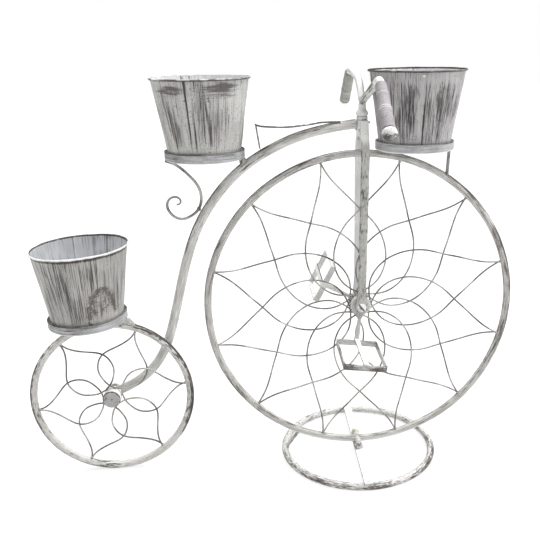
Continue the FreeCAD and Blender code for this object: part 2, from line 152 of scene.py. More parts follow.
def stadium(w, t, m=28):
    """Flattened round section: t is the half thickness (first axis), w the half width."""
    t = min(t, w)
    h = m // 2
    a = np.linspace(0, math.pi, h)
    top = np.stack([t * np.cos(a), (w - t) + t * np.sin(a)], -1)
    low = np.stack([t * np.cos(a + math.pi), -(w - t) + t * np.sin(a + math.pi)], -1)
    return np.concatenate([top, low])


def bar_section(w, h, r=0.5, per=4):
    """Rectangle w by h (full sizes) with rounded corners."""
    out = []
    for cx, cy, a0 in ((w / 2 - r, h / 2 - r, 0), (-w / 2 + r, h / 2 - r, 90), (-w / 2 + r, -h / 2 + r, 180), (w / 2 - r, -h / 2 + r, 270)):
        for k in range(per):
            a = math.radians(a0 + 90.0 * k / (per - 1))
            out.append((cx + r * math.cos(a), cy + r * math.sin(a)))
    return np.array(out)


def sweep(P, B, sec, closed=False, cap=0.0, seed=0.0, wear=0.0, rough=0.0, rough_len=9.0):
    """Sections sec (M,2) or (N,M,2) along P; the first section axis is B x T, the second is B."""
    P = np.asarray(P, float)
    N = len(P)
    T = unit(np.roll(P, -1, 0) - np.roll(P, 1, 0)) if closed else unit(np.gradient(P, axis=0))
    B = np.broadcast_to(np.asarray(B, float), (N, 3))
    n = unit(np.cross(B, T))
    b = np.cross(T, n)
    sec = np.asarray(sec, float)
    if sec.ndim == 2:
        sec = np.broadcast_to(sec, (N,) + sec.shape)
    S = np.concatenate([[0], np.cumsum(np.linalg.norm(np.diff(P, axis=0), axis=1))])
    wear = np.broadcast_to(np.asarray(wear, float), (N,)) if np.ndim(wear) < 2 else np.asarray(wear, float)
    if not closed and cap > 0:
        size = np.abs(sec[0]).max(), np.abs(sec[-1]).max()
        pre, post = [], []
        for k in (4, 3, 2, 1):
            a = math.pi / 2 * k / 4.3
            pre.append((P[0] - T[0] * cap * math.sin(a), sec[0] * (1 - (1 - math.cos(a)) * min(cap / size[0], 1.0)), S[0] - cap * math.sin(a)))
            post.insert(0, (P[-1] + T[-1] * cap * math.sin(a), sec[-1] * (1 - (1 - math.cos(a)) * min(cap / size[1], 1.0)), S[-1] + cap * math.sin(a)))
        P = np.concatenate([[x[0] for x in pre], P, [x[0] for x in post]])
        sec = np.concatenate([[x[1] for x in pre], sec, [x[1] for x in post]])
        S = np.concatenate([[x[2] for x in pre], S, [x[2] for x in post]])
        n = np.concatenate([np.repeat(n[:1], 4, 0), n, np.repeat(n[-1:], 4, 0)])
        b = np.concatenate([np.repeat(b[:1], 4, 0), b, np.repeat(b[-1:], 4, 0)])
        wear = np.concatenate([np.repeat(wear[:1], 4, 0), wear, np.repeat(wear[-1:], 4, 0)])
        N = len(P)
    M = sec.shape[1]
    v = P[:, None] + sec[..., 0:1] * n[:, None] + sec[..., 1:2] * b[:, None]
    if rough:
        out = unit(v - P[:, None])
        v = v + out * (rough * wob(v, rough_len, int(seed) % 997 + 3))[..., None]
    flow = np.concatenate([sec, np.broadcast_to((S + seed)[:, None, None], (N, M, 1))], -1)
    f = grid_faces(N, M, closed, True)
    if not closed:
        f.append(tuple(range(M)))
        f.append(tuple((N - 1) * M + k for k in reversed(range(M))))
    w = np.broadcast_to(wear[:, None], (N, M)) if wear.ndim == 1 else wear
    return v.reshape(-1, 3), f, flow.reshape(-1, 3), w.reshape(-1)


def lathe(profile, m, origin, axis, ref, loop=True, disp=None, flow_kind="up", seed=0.0, wear=None):
    """Turns (radius, height) points about an axis. With loop the profile is a closed ring; else its ends lie on the axis.
    disp(theta, k) adds to the radius; flow_kind says whether streaks run up the profile or round it."""
    profile = np.asarray(profile, float)
    axis = unit(axis)
    u = unit(np.asarray(ref, float) - axis * (np.asarray(ref, float) @ axis))
    w = np.cross(axis, u)
    th = np.arange(m) * TAU / m
    K = len(profile)
    s = np.concatenate([[0], np.cumsum(np.linalg.norm(np.diff(profile, axis=0), axis=1))])
    rad = np.repeat(profile[:, 0:1], m, 1)
    if disp is not None:
        rad = rad + disp(np.broadcast_to(th, (K, m)), np.broadcast_to(np.arange(K)[:, None], (K, m)))
    pos = np.asarray(origin, float) + profile[:, 1][:, None, None] * axis + rad[..., None] * (np.cos(th)[:, None] * u + np.sin(th)[:, None] * w)
    if flow_kind == "up":
        fl = np.stack([rad * np.cos(th), rad * np.sin(th), np.broadcast_to(s[:, None] + seed, (K, m))], -1)
    else:
        a = np.where(th > math.pi, th - TAU, th)
        fl = np.stack([np.broadcast_to(profile[:, 1:2], (K, m)), rad, np.broadcast_to(a * profile[:, 0].max() + seed, (K, m))], -1)
    we = np.zeros((K, m)) if wear is None else wear(np.broadcast_to(th, (K, m)), np.broadcast_to(np.arange(K)[:, None], (K, m)))
    f = grid_faces(K, m, loop, True)
    v, fl, we = pos.reshape(-1, 3), fl.reshape(-1, 3), np.asarray(we).reshape(-1)
    if not loop:
        f.append(tuple(range(m)))
        f.append(tuple((K - 1) * m + k for k in reversed(range(m))))
    return v, f, fl, we


def blob(at, sx, sy, sz, seed, rough=0.12):
    """A small uneven weld bead."""
    n, m = 7, 12
    v = [np.array([0, 0, -1.0])]
    for i in range(1, n):
        a = -math.pi / 2 + math.pi * i / n
        for j in range(m):
            b = TAU * j / m
            v.append(np.array([math.cos(a) * math.cos(b), math.cos(a) * math.sin(b), math.sin(a)]))
    v.append(np.array([0, 0, 1.0]))
    v = np.array(v)
    v = v * (1 + rough * wob(v * 10, 11.0, seed))[:, None] * np.array([sx, sy, sz])
    f = []
    for j in range(m):
        f.append((0, 1 + (j + 1) % m, 1 + j))
        f.append((len(v) - 1, 1 + (n - 2) * m + j, 1 + (n - 2) * m + (j + 1) % m))
    for i in range(n - 2):
        for j in range(m):
            f.append((1 + i * m + j, 1 + i * m + (j + 1) % m, 1 + (i + 1) * m + (j + 1) % m, 1 + (i + 1) * m + j))
    return v + np.asarray(at, float), f


def make(name, geo, mat, body="stand", nodes=(), sharp=None):
    """Turns a Geo into a piece that rides on a body and stands for CAD nodes."""
    v = (np.concatenate(geo.v) + SHIFT) * MM
    me = bpy.data.meshes.new(name)
    me.from_pydata(v.tolist(), [], geo.f)
    me.update()
    bm = bmesh.new()
    bm.from_mesh(me)
    bmesh.ops.recalc_face_normals(bm, faces=bm.faces)
    bm.to_mesh(me)
    bm.free()
    flow = (np.concatenate(geo.flow) * MM).astype(np.float32)
    a = me.attributes.new("flow", "FLOAT_VECTOR", "POINT")
    a.data.foreach_set("vector", flow.ravel())
    a = me.attributes.new("wear", "FLOAT", "POINT")
    a.data.foreach_set("value", np.concatenate(geo.wear).astype(np.float32))
    me.polygons.foreach_set("use_smooth", np.ones(len(me.polygons), bool))
    if sharp:
        me.set_sharp_from_angle(angle=math.radians(sharp))
    me.materials.append(mat)
    me.update()
    ob = bpy.data.objects.new(name, me)
    bpy.context.scene.collection.objects.link(ob)
    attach(ob, body)
    if nodes:
        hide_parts(*nodes)
    return ob


def solid(points, faces, bevel, segments=2):
    """A faceted closed shape with its edges rounded; returns points and faces."""
    bm = bmesh.new()
    vs = [bm.verts.new(p) for p in points]
    for q in faces:
        bm.faces.new([vs[i] for i in q])
    bmesh.ops.recalc_face_normals(bm, faces=bm.faces)
    if bevel:
        edges = [e for e in bm.edges if e.calc_face_angle(0.0) > 0.35]
        bmesh.ops.bevel(bm, geom=edges, offset=bevel, segments=segments, profile=0.6, affect="EDGES", clamp_overlap=True)
    bm.verts.index_update()
    v = np.array([x.co[:] for x in bm.verts])
    f = [tuple(x.index for x in q.verts) for q in bm.faces]
    bm.free()
    return v, f


def prism(pts, y0, y1, bevel, segments=2):
    """Plate with an outline in the XZ plane, between y0 and y1."""
    n = len(pts)
    P = [(x, y0, z) for x, z in pts] + [(x, y1, z) for x, z in pts]
    F = [tuple(range(n)), tuple(reversed(range(n, 2 * n)))]
    F += [(i, (i + 1) % n, n + (i + 1) % n, n + i) for i in range(n)]
    return solid(P, F, bevel, segments)


def block(lo, hi, bevel):
    (x0, y0, z0), (x1, y1, z1) = lo, hi
    return prism([(x0, z0), (x1, z0), (x1, z1), (x0, z1)], y0, y1, bevel)


# ------------------------------------------------------------------ materials
class Tree:
    def __init__(self, name):
        self.m = bpy.data.materials.new(name)
        self.m.use_nodes = True
        self.t = self.m.node_tree
        self.t.nodes.clear()
        self.x = 0

    def node(self, kind, **props):
        n = self.t.nodes.new(kind)
        self.x += 180
        n.location = (self.x, 0)
        for k, v in props.items():
            setattr(n, k, v)
        return n

    def link(self, a, b):
        self.t.links.new(a, b)

    def attr(self, name, out):
        return self.node("ShaderNodeAttribute", attribute_name=name).outputs[out]

    def scaled(self, vec, scale, offset=(0, 0, 0)):
        n = self.node("ShaderNodeMapping")
        self.link(vec, n.inputs["Vector"])
        n.inputs["Scale"].default_value = scale
        n.inputs["Location"].default_value = offset
        return n.outputs["Vector"]

    def noise(self, vec, scale=1.0, detail=4.0, rough=0.55, dist=0.0):
        n = self.node("ShaderNodeTexNoise")
        self.link(vec, n.inputs["Vector"])
        n.inputs["Scale"].default_value = scale
        n.inputs["Detail"].default_value = detail
        n.inputs["Roughness"].default_value = rough
        n.inputs["Distortion"].default_value = dist
        return n.outputs["Fac"]

    def math(self, op, a, b=None, c=None, clamp=False):
        n = self.node("ShaderNodeMath", operation=op, use_clamp=clamp)
        for i, x in enumerate((a, b, c)):
            if x is None:
                continue
            if isinstance(x, (int, float)):
                n.inputs[i].default_value = x
            else:
                self.link(x, n.inputs[i])
        return n.outputs[0]

    def ramp(self, fac, lo, hi, to0=0.0, to1=1.0):
        n = self.node("ShaderNodeMapRange", interpolation_type="SMOOTHSTEP", clamp=True)
        self.link(fac, n.inputs["Value"])
        n.inputs["From Min"].default_value = lo
        n.inputs["From Max"].default_value = hi
        n.inputs["To Min"].default_value = to0
        n.inputs["To Max"].default_value = to1
        return n.outputs["Result"]

    def mix(self, fac, a, b):
        n = self.node("ShaderNodeMix", data_type="RGBA", blend_type="MIX", clamp_factor=True)
        self.link(fac, n.inputs[0])
        for i, x in ((6, a), (7, b)):
            if isinstance(x, tuple):
                n.inputs[i].default_value = (*x, 1.0)
            else:
                self.link(x, n.inputs[i])
        return n.outputs[2]

    def surface(self, colour, rough, height=None, strength=0.3, distance=0.0004, metallic=0.0, specular=0.4):
        b = self.node("ShaderNodeBsdfPrincipled")
        self.link(colour, b.inputs["Base Color"])
        if isinstance(rough, (int, float)):
            b.inputs["Roughness"].default_value = rough
        else:
            self.link(rough, b.inputs["Roughness"])
        b.inputs["Metallic"].default_value = metallic
        b.inputs["Specular IOR Level"].default_value = specular
        if height is not None:
            n = self.node("ShaderNodeBump")
            n.inputs["Strength"].default_value = strength
            n.inputs["Distance"].default_value = distance
            self.link(height, n.inputs["Height"])
            self.link(n.outputs["Normal"], b.inputs["Normal"])
        o = self.node("ShaderNodeOutputMaterial")
        self.link(b.outputs[0], o.inputs[0])
        return self.m


def paint(name, light, tint, dark, deep, fine, coarse, region, edge=(0.45, 0.60), weights=(0.62, 0.38), bias=0.0,
          speck=0.0, rough=(0.62, 0.48), bump=0.35, cad=False, deep_edge=(0.58, 0.72), tone=30.0, strength=0.9, grain=0.16, smear=None, pale=None, grit=0.22, grit_scale=650.0, gain=1.0, wash=0.0, hair=0.0, hair_at=(0.60, 0.68), patch=0.55, speck_at=(0.66, 0.71)):
    """Off-white brushed paint over dark metal. fine and coarse are stroke scales (across, across, along) per metre of
    the flow coordinate; region is the scale of the worn areas; the per-point value of wear and painted light shifts the
    balance locally: raised values paint wear and painted shade, and lowered ones lighten the paint, which on some
    pieces is painted light. With pale, points well below zero take the pale colour. With smear, a second
    set of strokes runs round the piece where the smear value is high. wash is a thin dark stain under the strokes of
    worn areas, and hair adds scratches finer than the strokes."""
    t = Tree(name)
    flow = t.node("ShaderNodeTexCoord").outputs["Object"] if cad else t.attr("flow", "Vector")
    place = t.node("ShaderNodeTexCoord").outputs["Object"]
    s1 = t.noise(t.scaled(flow, fine), 1.0, 4.0, 0.6, 0.0)
    s2 = t.noise(t.scaled(flow, coarse, (3.1, 1.7, 5.3)), 1.0, 3.0, 0.55, 0.0)
    s3 = t.noise(t.scaled(flow, tuple(1.35 * x for x in fine), (7.7, 2.9, 1.1)), 1.0, 2.0, 0.5, 0.0)
    g1 = t.noise(place, grit_scale, 2.0, 0.6)
    r1 = t.noise(place, region, 3.0, 0.55, 0.2)
    strokes = t.math("ADD", t.math("MULTIPLY", s1, weights[0]), t.math("MULTIPLY", s2, weights[1]))
    strokes = t.math("MULTIPLY_ADD", strokes, gain, 0.5 - 0.5 * gain)
    area = t.math("MULTIPLY_ADD", r1, patch, -0.5 * patch + bias)
    value = t.math("ADD", t.math("ADD", strokes, area), t.math("MULTIPLY_ADD", g1, grit, -0.5 * grit))
    if not cad:
        # the per-point value holds real wear together with painted shade and painted light set on some pieces
        value = t.math("ADD", value, t.attr("wear", "Fac"))
    if smear:
        round_it = t.attr("around", "Vector")
        h1 = t.noise(t.scaled(round_it, smear[0]), 1.0, 4.0, 0.6, 0.1)
        h2 = t.noise(t.scaled(round_it, smear[1], (1.3, 0.2, 4.4)), 1.0, 4.0, 0.6, 0.2)
        swipe = t.math("ADD", t.math("ADD", t.math("MULTIPLY", h1, 1.1), t.math("MULTIPLY", h2, 0.9)), t.math("ADD", t.attr("smear", "Fac"), t.math("MULTIPLY_ADD", g1, 0.40, -1.02)))
    # mask of worn paint, which also takes the painted shade carried by the per-point value
    worn_and_shaded = t.ramp(value, edge[0], edge[1], 0.0, strength)
    deeper = t.ramp(value, deep_edge[0], deep_edge[1])
    base = t.mix(t.ramp(t.noise(place, tone, 3.0, 0.5), 0.35, 0.65), light, tint)
    base = t.mix(t.ramp(s3, 0.40, 0.66, 0.0, grain * 2.0), base, dark)
    base = t.mix(t.ramp(s3, 0.30, 0.46, grain * 1.6, 0.0), base, tuple(min(1.0, 1.22 * x) for x in light))
    if wash:
        stain = t.math("ADD", t.attr("wear", "Fac"), t.math("ADD", t.math("MULTIPLY_ADD", r1, 0.5, -0.25), t.math("MULTIPLY_ADD", s2, 0.6, -0.30)))
        base = t.mix(t.ramp(stain, -0.02, 0.26, 0.0, wash), base, dark)
    colour = t.mix(worn_and_shaded, base, dark)
    colour = t.mix(deeper, colour, deep)
    if hair:
        s4 = t.noise(t.scaled(flow, (1.9 * fine[0], 1.9 * fine[1], 1.3 * fine[2]), (5.5, 8.1, 2.2)), 1.0, 2.0, 0.5, 0.0)
        lines = t.math("ADD", t.math("ADD", s4, t.math("MULTIPLY", t.attr("wear", "Fac"), 0.55)), t.math("MULTIPLY_ADD", r1, 0.30, -0.15))
        colour = t.mix(t.ramp(lines, hair_at[0], hair_at[1], 0.0, hair), colour, deep)
    if smear:
        colour = t.mix(t.ramp(swipe, 0.31, 0.72, 0.0, 0.88), colour, tuple(0.9 * x for x in dark))
    # pale colour where the per-point value is well below zero; on the trays, grip rings, pedal faces, small hub and far
    # grip end this is painted light
    if pale:
        colour = t.mix(t.ramp(t.attr("wear", "Fac"), -0.10, -0.22), colour, pale)
    if speck:
        sp = t.noise(place, 620.0, 2.0, 0.5)
        colour = t.mix(t.math("MULTIPLY", t.ramp(sp, speck_at[0], speck_at[1]), speck), colour, deep)
    rr = t.math("MULTIPLY_ADD", worn_and_shaded, rough[1] - rough[0], rough[0])
    height = t.math("MULTIPLY_ADD", worn_and_shaded, -0.6, s1)
    return t.surface(colour, rr, height, bump, 0.0005)


WHITE = (0.60, 0.595, 0.57)
WARM = (0.50, 0.49, 0.46)
DARK = (0.165, 0.152, 0.142)
DEEP = (0.062, 0.055, 0.050)

M_FRAME = paint("frame_paint", WHITE, WARM, (0.155, 0.140, 0.130), DEEP, (450, 450, 36), (210, 210, 12), 26.0, edge=(0.46, 0.60), weights=(0.68, 0.32), bias=-0.075, speck=0.5, deep_edge=(0.60, 0.74), gain=1.5, pale=(0.76, 0.77, 0.785))
M_RING = paint("ring_paint", (0.69, 0.69, 0.675), (0.59, 0.585, 0.565), (0.14, 0.125, 0.116), (0.05, 0.042, 0.038), (600, 600, 130), (290, 290, 56), 24.0, edge=(0.46, 0.60), weights=(0.72, 0.28), bias=-0.065, speck=0.8, deep_edge=(0.60, 0.76), strength=0.9, gain=1.5, patch=0.40)
M_FORK = paint("fork_paint", (0.535, 0.535, 0.51), (0.45, 0.45, 0.42), (0.18, 0.17, 0.155), DEEP, (470, 470, 120), (230, 230, 50), 60.0, edge=(0.48, 0.62), weights=(0.72, 0.28), bias=-0.05, speck=0.9, gain=1.4, pale=(0.84, 0.84, 0.815))
M_WIRE = paint("wire_paint", (0.56, 0.55, 0.53), (0.38, 0.37, 0.35), (0.135, 0.128, 0.12), DEEP, (300, 300, 50), (120, 120, 14), 26.0, edge=(0.43, 0.56), bias=0.0, deep_edge=(0.60, 0.76))
M_TRAY = paint("tray_paint", (0.52, 0.525, 0.535), (0.43, 0.433, 0.44), (0.19, 0.185, 0.188), DEEP, (820, 820, 26), (420, 420, 12), 22.0, edge=(0.45, 0.64), bias=0.015, pale=(0.80, 0.80, 0.80))
POT_DARK, POT_DEEP = (0.150, 0.134, 0.128), (0.062, 0.053, 0.050)
M_POT_TOP = paint("top_pot_paint", (0.60, 0.60, 0.58), (0.52, 0.515, 0.495), (0.095, 0.080, 0.076), (0.04, 0.034, 0.032), (560, 560, 17), (220, 220, 8), 15.0, edge=(0.44, 0.58), weights=(0.74, 0.26), bias=-0.20, tone=22.0, speck=1.0, smear=((560, 560, 30), (210, 210, 30)), bump=0.2, gain=2.1, deep_edge=(0.64, 0.86), grain=0.10, strength=0.88, wash=0.46, hair=0.85, hair_at=(0.585, 0.665), patch=0.40, speck_at=(0.625, 0.68))
M_POT_FRONT = paint("front_pot_paint", (0.54, 0.525, 0.525), (0.46, 0.445, 0.447), (0.070, 0.062, 0.063), (0.030, 0.026, 0.026), (680, 680, 24), (240, 240, 9), 15.0, edge=(0.44, 0.57), weights=(0.78, 0.22), bias=-0.15, tone=22.0, speck=0.7, smear=((560, 560, 30), (210, 210, 30)), bump=0.2, gain=2.2, deep_edge=(0.64, 0.86), grain=0.10, strength=0.9, wash=0.34, hair=0.95, hair_at=(0.545, 0.625), patch=0.25)
M_POT_REAR = paint("rear_pot_paint", (0.54, 0.535, 0.515), (0.45, 0.445, 0.425), (0.105, 0.090, 0.082), (0.045, 0.039, 0.036), (560, 560, 17), (220, 220, 8), 15.0, edge=(0.44, 0.58), weights=(0.74, 0.26), bias=-0.16, tone=22.0, speck=0.7, smear=((430, 430, 260), (170, 170, 130)), bump=0.2, gain=2.1, deep_edge=(0.64, 0.86), grain=0.12, strength=0.88, wash=0.40, hair=0.85, hair_at=(0.55, 0.63), patch=0.20)
M_POT_IN = paint("pot_inside_paint", (0.67, 0.68, 0.70), (0.60, 0.61, 0.63), (0.24, 0.24, 0.245), DEEP, (520, 520, 18), (220, 220, 9), 15.0, edge=(0.46, 0.62), bias=-0.10, gain=1.7, grain=0.10, hair=0.6, hair_at=(0.60, 0.67))
M_POT_IN_WHITE = paint("pot_inside_white_paint", (0.86, 0.86, 0.87), (0.78, 0.78, 0.79), (0.20, 0.20, 0.205), DEEP, (420, 420, 40), (200, 200, 20), 25.0, edge=(0.50, 0.62), bias=-0.08, speck=0.5, grain=0.08)
M_BEAD = paint("rolled_edge_paint", (0.66, 0.66, 0.64), (0.54, 0.54, 0.52), (0.11, 0.10, 0.096), DEEP, (300, 300, 120), (160, 160, 60), 40.0, edge=(0.47, 0.58), bias=0.0)
M_BEAD_PALE = paint("rolled_edge_pale_paint", (0.80, 0.80, 0.785), (0.72, 0.72, 0.70), (0.11, 0.10, 0.096), DEEP, (300, 300, 120), (160, 160, 60), 40.0, edge=(0.47, 0.58), bias=-0.17, grain=0.08)
M_BEAD_DARK = paint("rolled_edge_worn_paint", (0.48, 0.48, 0.47), (0.36, 0.36, 0.35), (0.09, 0.082, 0.080), (0.045, 0.04, 0.038), (300, 300, 120), (160, 160, 60), 40.0, edge=(0.36, 0.50), bias=0.04)
M_HARD = paint("hardware_paint", (0.62, 0.61, 0.585), (0.50, 0.49, 0.47), (0.17, 0.16, 0.15), DEEP, (420, 420, 420), (170, 170, 170), 90.0, edge=(0.50, 0.66), cad=True, rough=(0.5, 0.36), bump=0.2)
M_PLAIN = paint("plate_paint", WHITE, WARM, DARK, DEEP, (420, 420, 120), (140, 140, 50), 40.0, edge=(0.46, 0.64), bias=-0.02, cad=True, speck=0.3)
M_DARKPLATE = paint("worn_plate_paint", (0.42, 0.41, 0.39), (0.33, 0.32, 0.30), (0.11, 0.10, 0.094), DEEP, (420, 420, 120), (140, 140, 50), 40.0, edge=(0.43, 0.58), bias=0.0, cad=True, speck=0.3)
M_PEDAL = paint("pedal_paint", (0.58, 0.58, 0.565), (0.51, 0.505, 0.49), (0.13, 0.117, 0.112), DEEP, (520, 520, 60), (220, 220, 24), 30.0, edge=(0.47, 0.60), bias=-0.09, speck=0.4, pale=(0.84, 0.84, 0.82))
M_GRIP_NEAR = paint("near_grip_paint", (0.35, 0.328, 0.342), (0.29, 0.27, 0.283), (0.15, 0.135, 0.14), DEEP, (360, 360, 260), (160, 160, 120), 60.0, edge=(0.50, 0.70), bias=-0.04, rough=(0.7, 0.6), grain=0.12, pale=(0.66, 0.65, 0.655), grit=0.15)
M_GRIP_FAR = paint("far_grip_paint", (0.38, 0.38, 0.35), (0.31, 0.31, 0.285), (0.16, 0.155, 0.14), DEEP, (360, 360, 260), (160, 160, 120), 60.0, edge=(0.47, 0.66), bias=-0.03, rough=(0.7, 0.6), grain=0.10, pale=(0.55, 0.55, 0.52))
M_STRIP = paint("base_strip_paint", (0.84, 0.84, 0.82), (0.78, 0.78, 0.76), (0.20, 0.19, 0.18), DEEP, (420, 420, 120), (140, 140, 50), 40.0, edge=(0.56, 0.66), bias=-0.05, grain=0.06)
M_BOLT = paint("bolt_paint", (0.84, 0.84, 0.82), (0.74, 0.74, 0.72), (0.20, 0.19, 0.18), DEEP, (260, 260, 260), (130, 130, 130), 90.0, edge=(0.55, 0.66), bias=-0.03, cad=True, grain=0.08, rough=(0.5, 0.4))
M_BAR = paint("bar_paint", (0.60, 0.605, 0.58), (0.52, 0.525, 0.50), (0.17, 0.16, 0.148), DEEP, (450, 450, 36), (220, 220, 18), 40.0, edge=(0.47, 0.60), weights=(0.70, 0.30), bias=-0.12, speck=0.5, grain=0.1, gain=1.8, pale=(0.80, 0.805, 0.78))
M_RIM_SMALL = paint("small_rim_paint", (0.70, 0.695, 0.67), (0.61, 0.60, 0.57), (0.10, 0.088, 0.080), (0.04, 0.033, 0.03), (600, 600, 90), (280, 280, 34), 24.0, edge=(0.47, 0.60), weights=(0.74, 0.26), bias=-0.15, speck=0.8, deep_edge=(0.60, 0.76), gain=1.8, grain=0.10, patch=0.38)
M_CREAM = paint("clip_cream_paint", (0.95, 0.94, 0.78), (0.89, 0.88, 0.72), (0.40, 0.38, 0.30), DEEP, (420, 420, 420), (170, 170, 170), 90.0, edge=(0.58, 0.70), bias=-0.08, cad=True, grain=0.05)
M_HUBBIG = paint("big_hub_paint", (0.74, 0.735, 0.71), (0.64, 0.635, 0.61), (0.22, 0.21, 0.20), DEEP, (420, 420, 420), (170, 170, 170), 60.0, edge=(0.52, 0.66), bias=-0.07)
M_CLIPBOLT = paint("clip_bolt_paint", (0.74, 0.735, 0.71), (0.60, 0.595, 0.57), (0.16, 0.15, 0.14), DEEP, (420, 420, 420), (170, 170, 170), 90.0, edge=(0.49, 0.60), cad=True, rough=(0.5, 0.36))
M_COLLAR = paint("collar_paint", (0.90, 0.90, 0.875), (0.80, 0.80, 0.77), (0.30, 0.29, 0.275), DEEP, (300, 300, 200), (140, 140, 90), 70.0, edge=(0.54, 0.68), bias=-0.06, speck=0.5, grain=0.08)
# the far fork blade's paint is much paler than the near blade's: painted light on a blade that sits in shade
M_BLADE_FAR_PAINTED_LIGHT = paint("far_blade_painted_light_paint", (0.88, 0.88, 0.87), (0.80, 0.80, 0.79), (0.36, 0.35, 0.34), DEEP, (560, 560, 60), (230, 230, 20), 34.0, edge=(0.54, 0.68), bias=-0.05, grain=0.06)
M_BACK = paint("backbone_paint", (0.70, 0.695, 0.67), (0.60, 0.59, 0.56), (0.115, 0.104, 0.096), DEEP, (450, 450, 34), (210, 210, 12), 22.0, edge=(0.47, 0.60), bias=-0.12, speck=0.4, deep_edge=(0.60, 0.74), gain=1.7)
M_SADDLE = paint("saddle_paint", (0.80, 0.80, 0.78), (0.73, 0.73, 0.71), (0.24, 0.23, 0.22), (0.13, 0.122, 0.115), (300, 300, 60), (120, 120, 30), 26.0, edge=(0.52, 0.66), bias=-0.08, grain=0.08)
M_HUBFACE = paint("hub_face_paint", (0.50, 0.485, 0.485), (0.43, 0.415, 0.415), (0.16, 0.148, 0.145), DEEP, (260, 260, 260), (110, 110, 110), 60.0, edge=(0.50, 0.62), bias=-0.05, grain=0.10, pale=(0.88, 0.88, 0.87))
M_CAP = paint("grip_cap_paint", (0.78, 0.78, 0.76), (0.68, 0.68, 0.66), (0.22, 0.21, 0.20), DEEP, (300, 300, 300), (150, 150, 150), 70.0, edge=(0.49, 0.58), bias=-0.01, speck=0.4, grain=0.08, pale=(0.95, 0.95, 0.935))



def slot_painted_shade(m):
    """Paints shade into the cross slot's floor and walls on the axle screw, which runs down to the right."""
    t = Tree.__new__(Tree)
    t.m, t.t, t.x = m, m.node_tree, 4000
    shader = next(n for n in t.t.nodes if n.type == "BSDF_PRINCIPLED")
    old = shader.inputs["Base Color"].links[0].from_socket
    sep = t.node("ShaderNodeSeparateXYZ")
    t.link(t.node("ShaderNodeTexCoord").outputs["Object"], sep.inputs[0])
    a = math.radians(52.0)
    across = t.math("ADD", t.math("MULTIPLY", t.math("ADD", sep.outputs[0], -0.135), math.sin(a)), t.math("MULTIPLY", t.math("ADD", sep.outputs[2], -0.2535), math.cos(a)))
    inside = t.ramp(t.math("ABSOLUTE", across), 0.00085, 0.00125, 1.0, 0.0)
    front = t.ramp(sep.outputs[1], -0.0212, -0.0206, 1.0, 0.0)
    t.link(t.mix(t.math("MULTIPLY", t.math("MULTIPLY", inside, front), 0.9), old, (0.045, 0.04, 0.038)), shader.inputs["Base Color"])


slot_painted_shade(M_BOLT)

Y = (0.0, 1.0, 0.0)
Z = (0.0, 0.0, 1.0)

# ------------------------------------------------------------------ big wheel
RIM_R, BAR_R = 234.5, 5.5


def hoop(R, r, centre, plane, start, seed, outer_wear=0.05, count=None, m=20, scuffs=()):
    """A bent round bar closed into a ring, slightly uneven, with its flow seam at angle start."""
    count = count or int(R * 1.6)
    th = math.radians(start) + np.arange(count) * TAU / count
    if plane == "xz":
        P = np.stack([R * np.cos(th), 0 * th, R * np.sin(th)], -1)
        B = Y
    else:
        P = np.stack([R * np.cos(th), R * np.sin(th), 0 * th], -1)
        B = Z
    out = unit(P)
    P = P + out * (0.25 * wob(P, 160.0, seed + 5))[:, None]
    sec = circle(r, m)
    side = sec[:, 0] / r if plane == "xz" else -sec[:, 0] / r
    wear = outer_wear * np.clip(side, 0, 1)[None] ** 2 * (0.9 + 0.9 * wob(P, 120.0, seed + 9))[:, None]
    for a, half, amount, power in scuffs:
        off = (np.degrees(th) - a + 180.0) % 360.0 - 180.0
        spread = 0.35 + 0.65 * np.clip(side, 0, 1) if power == 0 else np.clip(math.copysign(1.0, power) * side, 0, 1) ** abs(power)
        wear = wear + (amount * np.exp(-(off / half) ** 4))[:, None] * spread[None]
    v, f, fl, w = sweep(P, B, sec, closed=True, seed=seed, rough=0.10, rough_len=14.0)
    return v + np.asarray(centre, float), f, fl, wear.reshape(-1)


g = Geo()
g.add(*hoop(RIM_R, BAR_R, (0, 0, 0), "xz", -90.0, 11, outer_wear=0.06, scuffs=((48.0, 16.0, 0.12, 0), (49.0, 7.0, 0.30, 1), (40.0, 5.0, 0.24, 2), (12.0, 20.0, 0.10, 0), (23.0, 7.0, 0.50, 1.5), (6.0, 13.0, 0.34, 2), (98.0, 5.0, 0.10, 0), (-20.0, 12.0, 0.07, 0), (128.0, 10.0, 0.12, 3), (196.0, 20.0, 0.24, 3), (222.0, 18.0, 0.32, 1.5), (-90.0, 32.0, -0.46, 0), (-90.0, 40.0, 0.20, -0.8), (38.0, 30.0, 0.05, 0))))
make("rim_big", g, M_FRAME, nodes=("front_rim",))

FRONT_SPOKE = [(229.0, 0.0), (217.0, 0.8), (205.0, 2.0), (185.0, 5.4), (168.0, 9.6),
               (150.0, 15.2), (132.0, 23.6), (117.0, 30.4), (100.0, 37.6),
               (82.0, 44.4), (66.0, 49.2), (54.0, 51.6), (44.0, 52.0),
               (34.0, 49.0), (27.0, 43.0), (21.6, 33.0), (18.2, 18.0), (16.9, 2.0)]
REAR_SPOKE = [(113.0, 0.0), (104.0, 1.2), (96.5, 3.6), (89.0, 7.8), (82.0, 14.0),
              (76.5, 21.5), (71.5, 28.5), (66.0, 33.8), (58.0, 39.0), (50.0, 43.0),
              (42.0, 45.0), (32.0, 43.8), (24.0, 39.3), (18.6, 29.0), (15.9, 15.0), (14.95, 2.0)]


